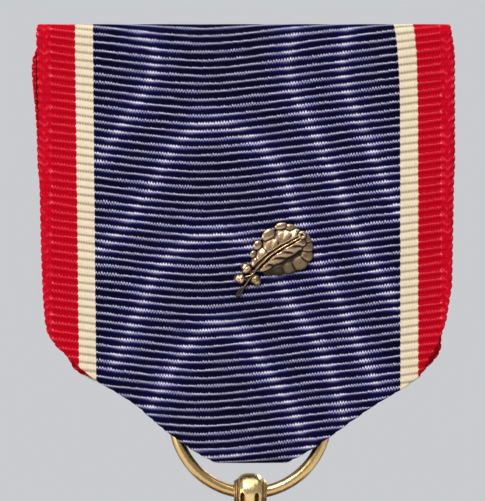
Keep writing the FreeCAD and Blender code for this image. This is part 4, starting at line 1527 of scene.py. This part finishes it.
class MEDAL_OT_leaf(bpy.types.Operator):
    """Make the oak leaf sprig that is pinned to the ribbon"""

    bl_idname = "medal.leaf"
    bl_label = "Oak Leaf"

    def execute(self, context):
        build_leaf()
        return {"FINISHED"}


class MEDAL_OT_ring(bpy.types.Operator):
    """Make the suspension ring and the lug that hangs on it"""

    bl_idname = "medal.ring"
    bl_label = "Ring and Lug"

    def execute(self, context):
        build_ring()
        build_lug()
        return {"FINISHED"}


class MEDAL_OT_pendant(bpy.types.Operator):
    """Make the pendant: cross, laurel wreath and centre boss"""

    bl_idname = "medal.pendant"
    bl_label = "Pendant"

    def execute(self, context):
        build_cross()
        build_wreath()
        build_boss()
        return {"FINISHED"}


class MEDAL_OT_fittings(bpy.types.Operator):
    """Give the brooch, pin and catch their metals"""

    bl_idname = "medal.fittings"
    bl_label = "Brooch Fittings"

    def execute(self, context):
        finish_fittings(context.scene.medal_metal)
        return {"FINISHED"}


class MEDAL_PT_panel(bpy.types.Panel):
    """The medal's settings and steps"""

    bl_idname = "MEDAL_PT_panel"
    bl_label = "Hanging Medal"
    bl_space_type = "VIEW_3D"
    bl_region_type = "UI"
    bl_category = "Medal"

    def draw(self, context):
        scene = context.scene
        for group in (scene.medal_ribbon, scene.medal_metal, scene.medal_stage):
            box = self.layout.box()
            for name in group.__annotations__:
                box.prop(group, name)
        for operator in OPERATORS:
            self.layout.operator(operator.bl_idname)


OPERATORS = (
    MEDAL_OT_stage,
    MEDAL_OT_ribbon,
    MEDAL_OT_leaf,
    MEDAL_OT_ring,
    MEDAL_OT_pendant,
    MEDAL_OT_fittings,
)
CLASSES = (RibbonSettings, MetalSettings, StageSettings, *OPERATORS, MEDAL_PT_panel)


def register():
    for cls in CLASSES:
        bpy.utils.register_class(cls)
    bpy.types.Scene.medal_ribbon = bpy.props.PointerProperty(type=RibbonSettings)
    bpy.types.Scene.medal_metal = bpy.props.PointerProperty(type=MetalSettings)
    bpy.types.Scene.medal_stage = bpy.props.PointerProperty(type=StageSettings)


def unregister():
    for name in ("medal_ribbon", "medal_metal", "medal_stage"):
        delattr(bpy.types.Scene, name)
    for cls in reversed(CLASSES):
        bpy.utils.unregister_class(cls)


def main():
    """Registers the add-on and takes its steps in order."""
    register()
    bpy.ops.medal.stage()
    bpy.ops.medal.ribbon()
    bpy.ops.medal.leaf()
    bpy.ops.medal.ring()
    bpy.ops.medal.pendant()
    bpy.ops.medal.fittings()


if __name__ == "__main__":
    main()
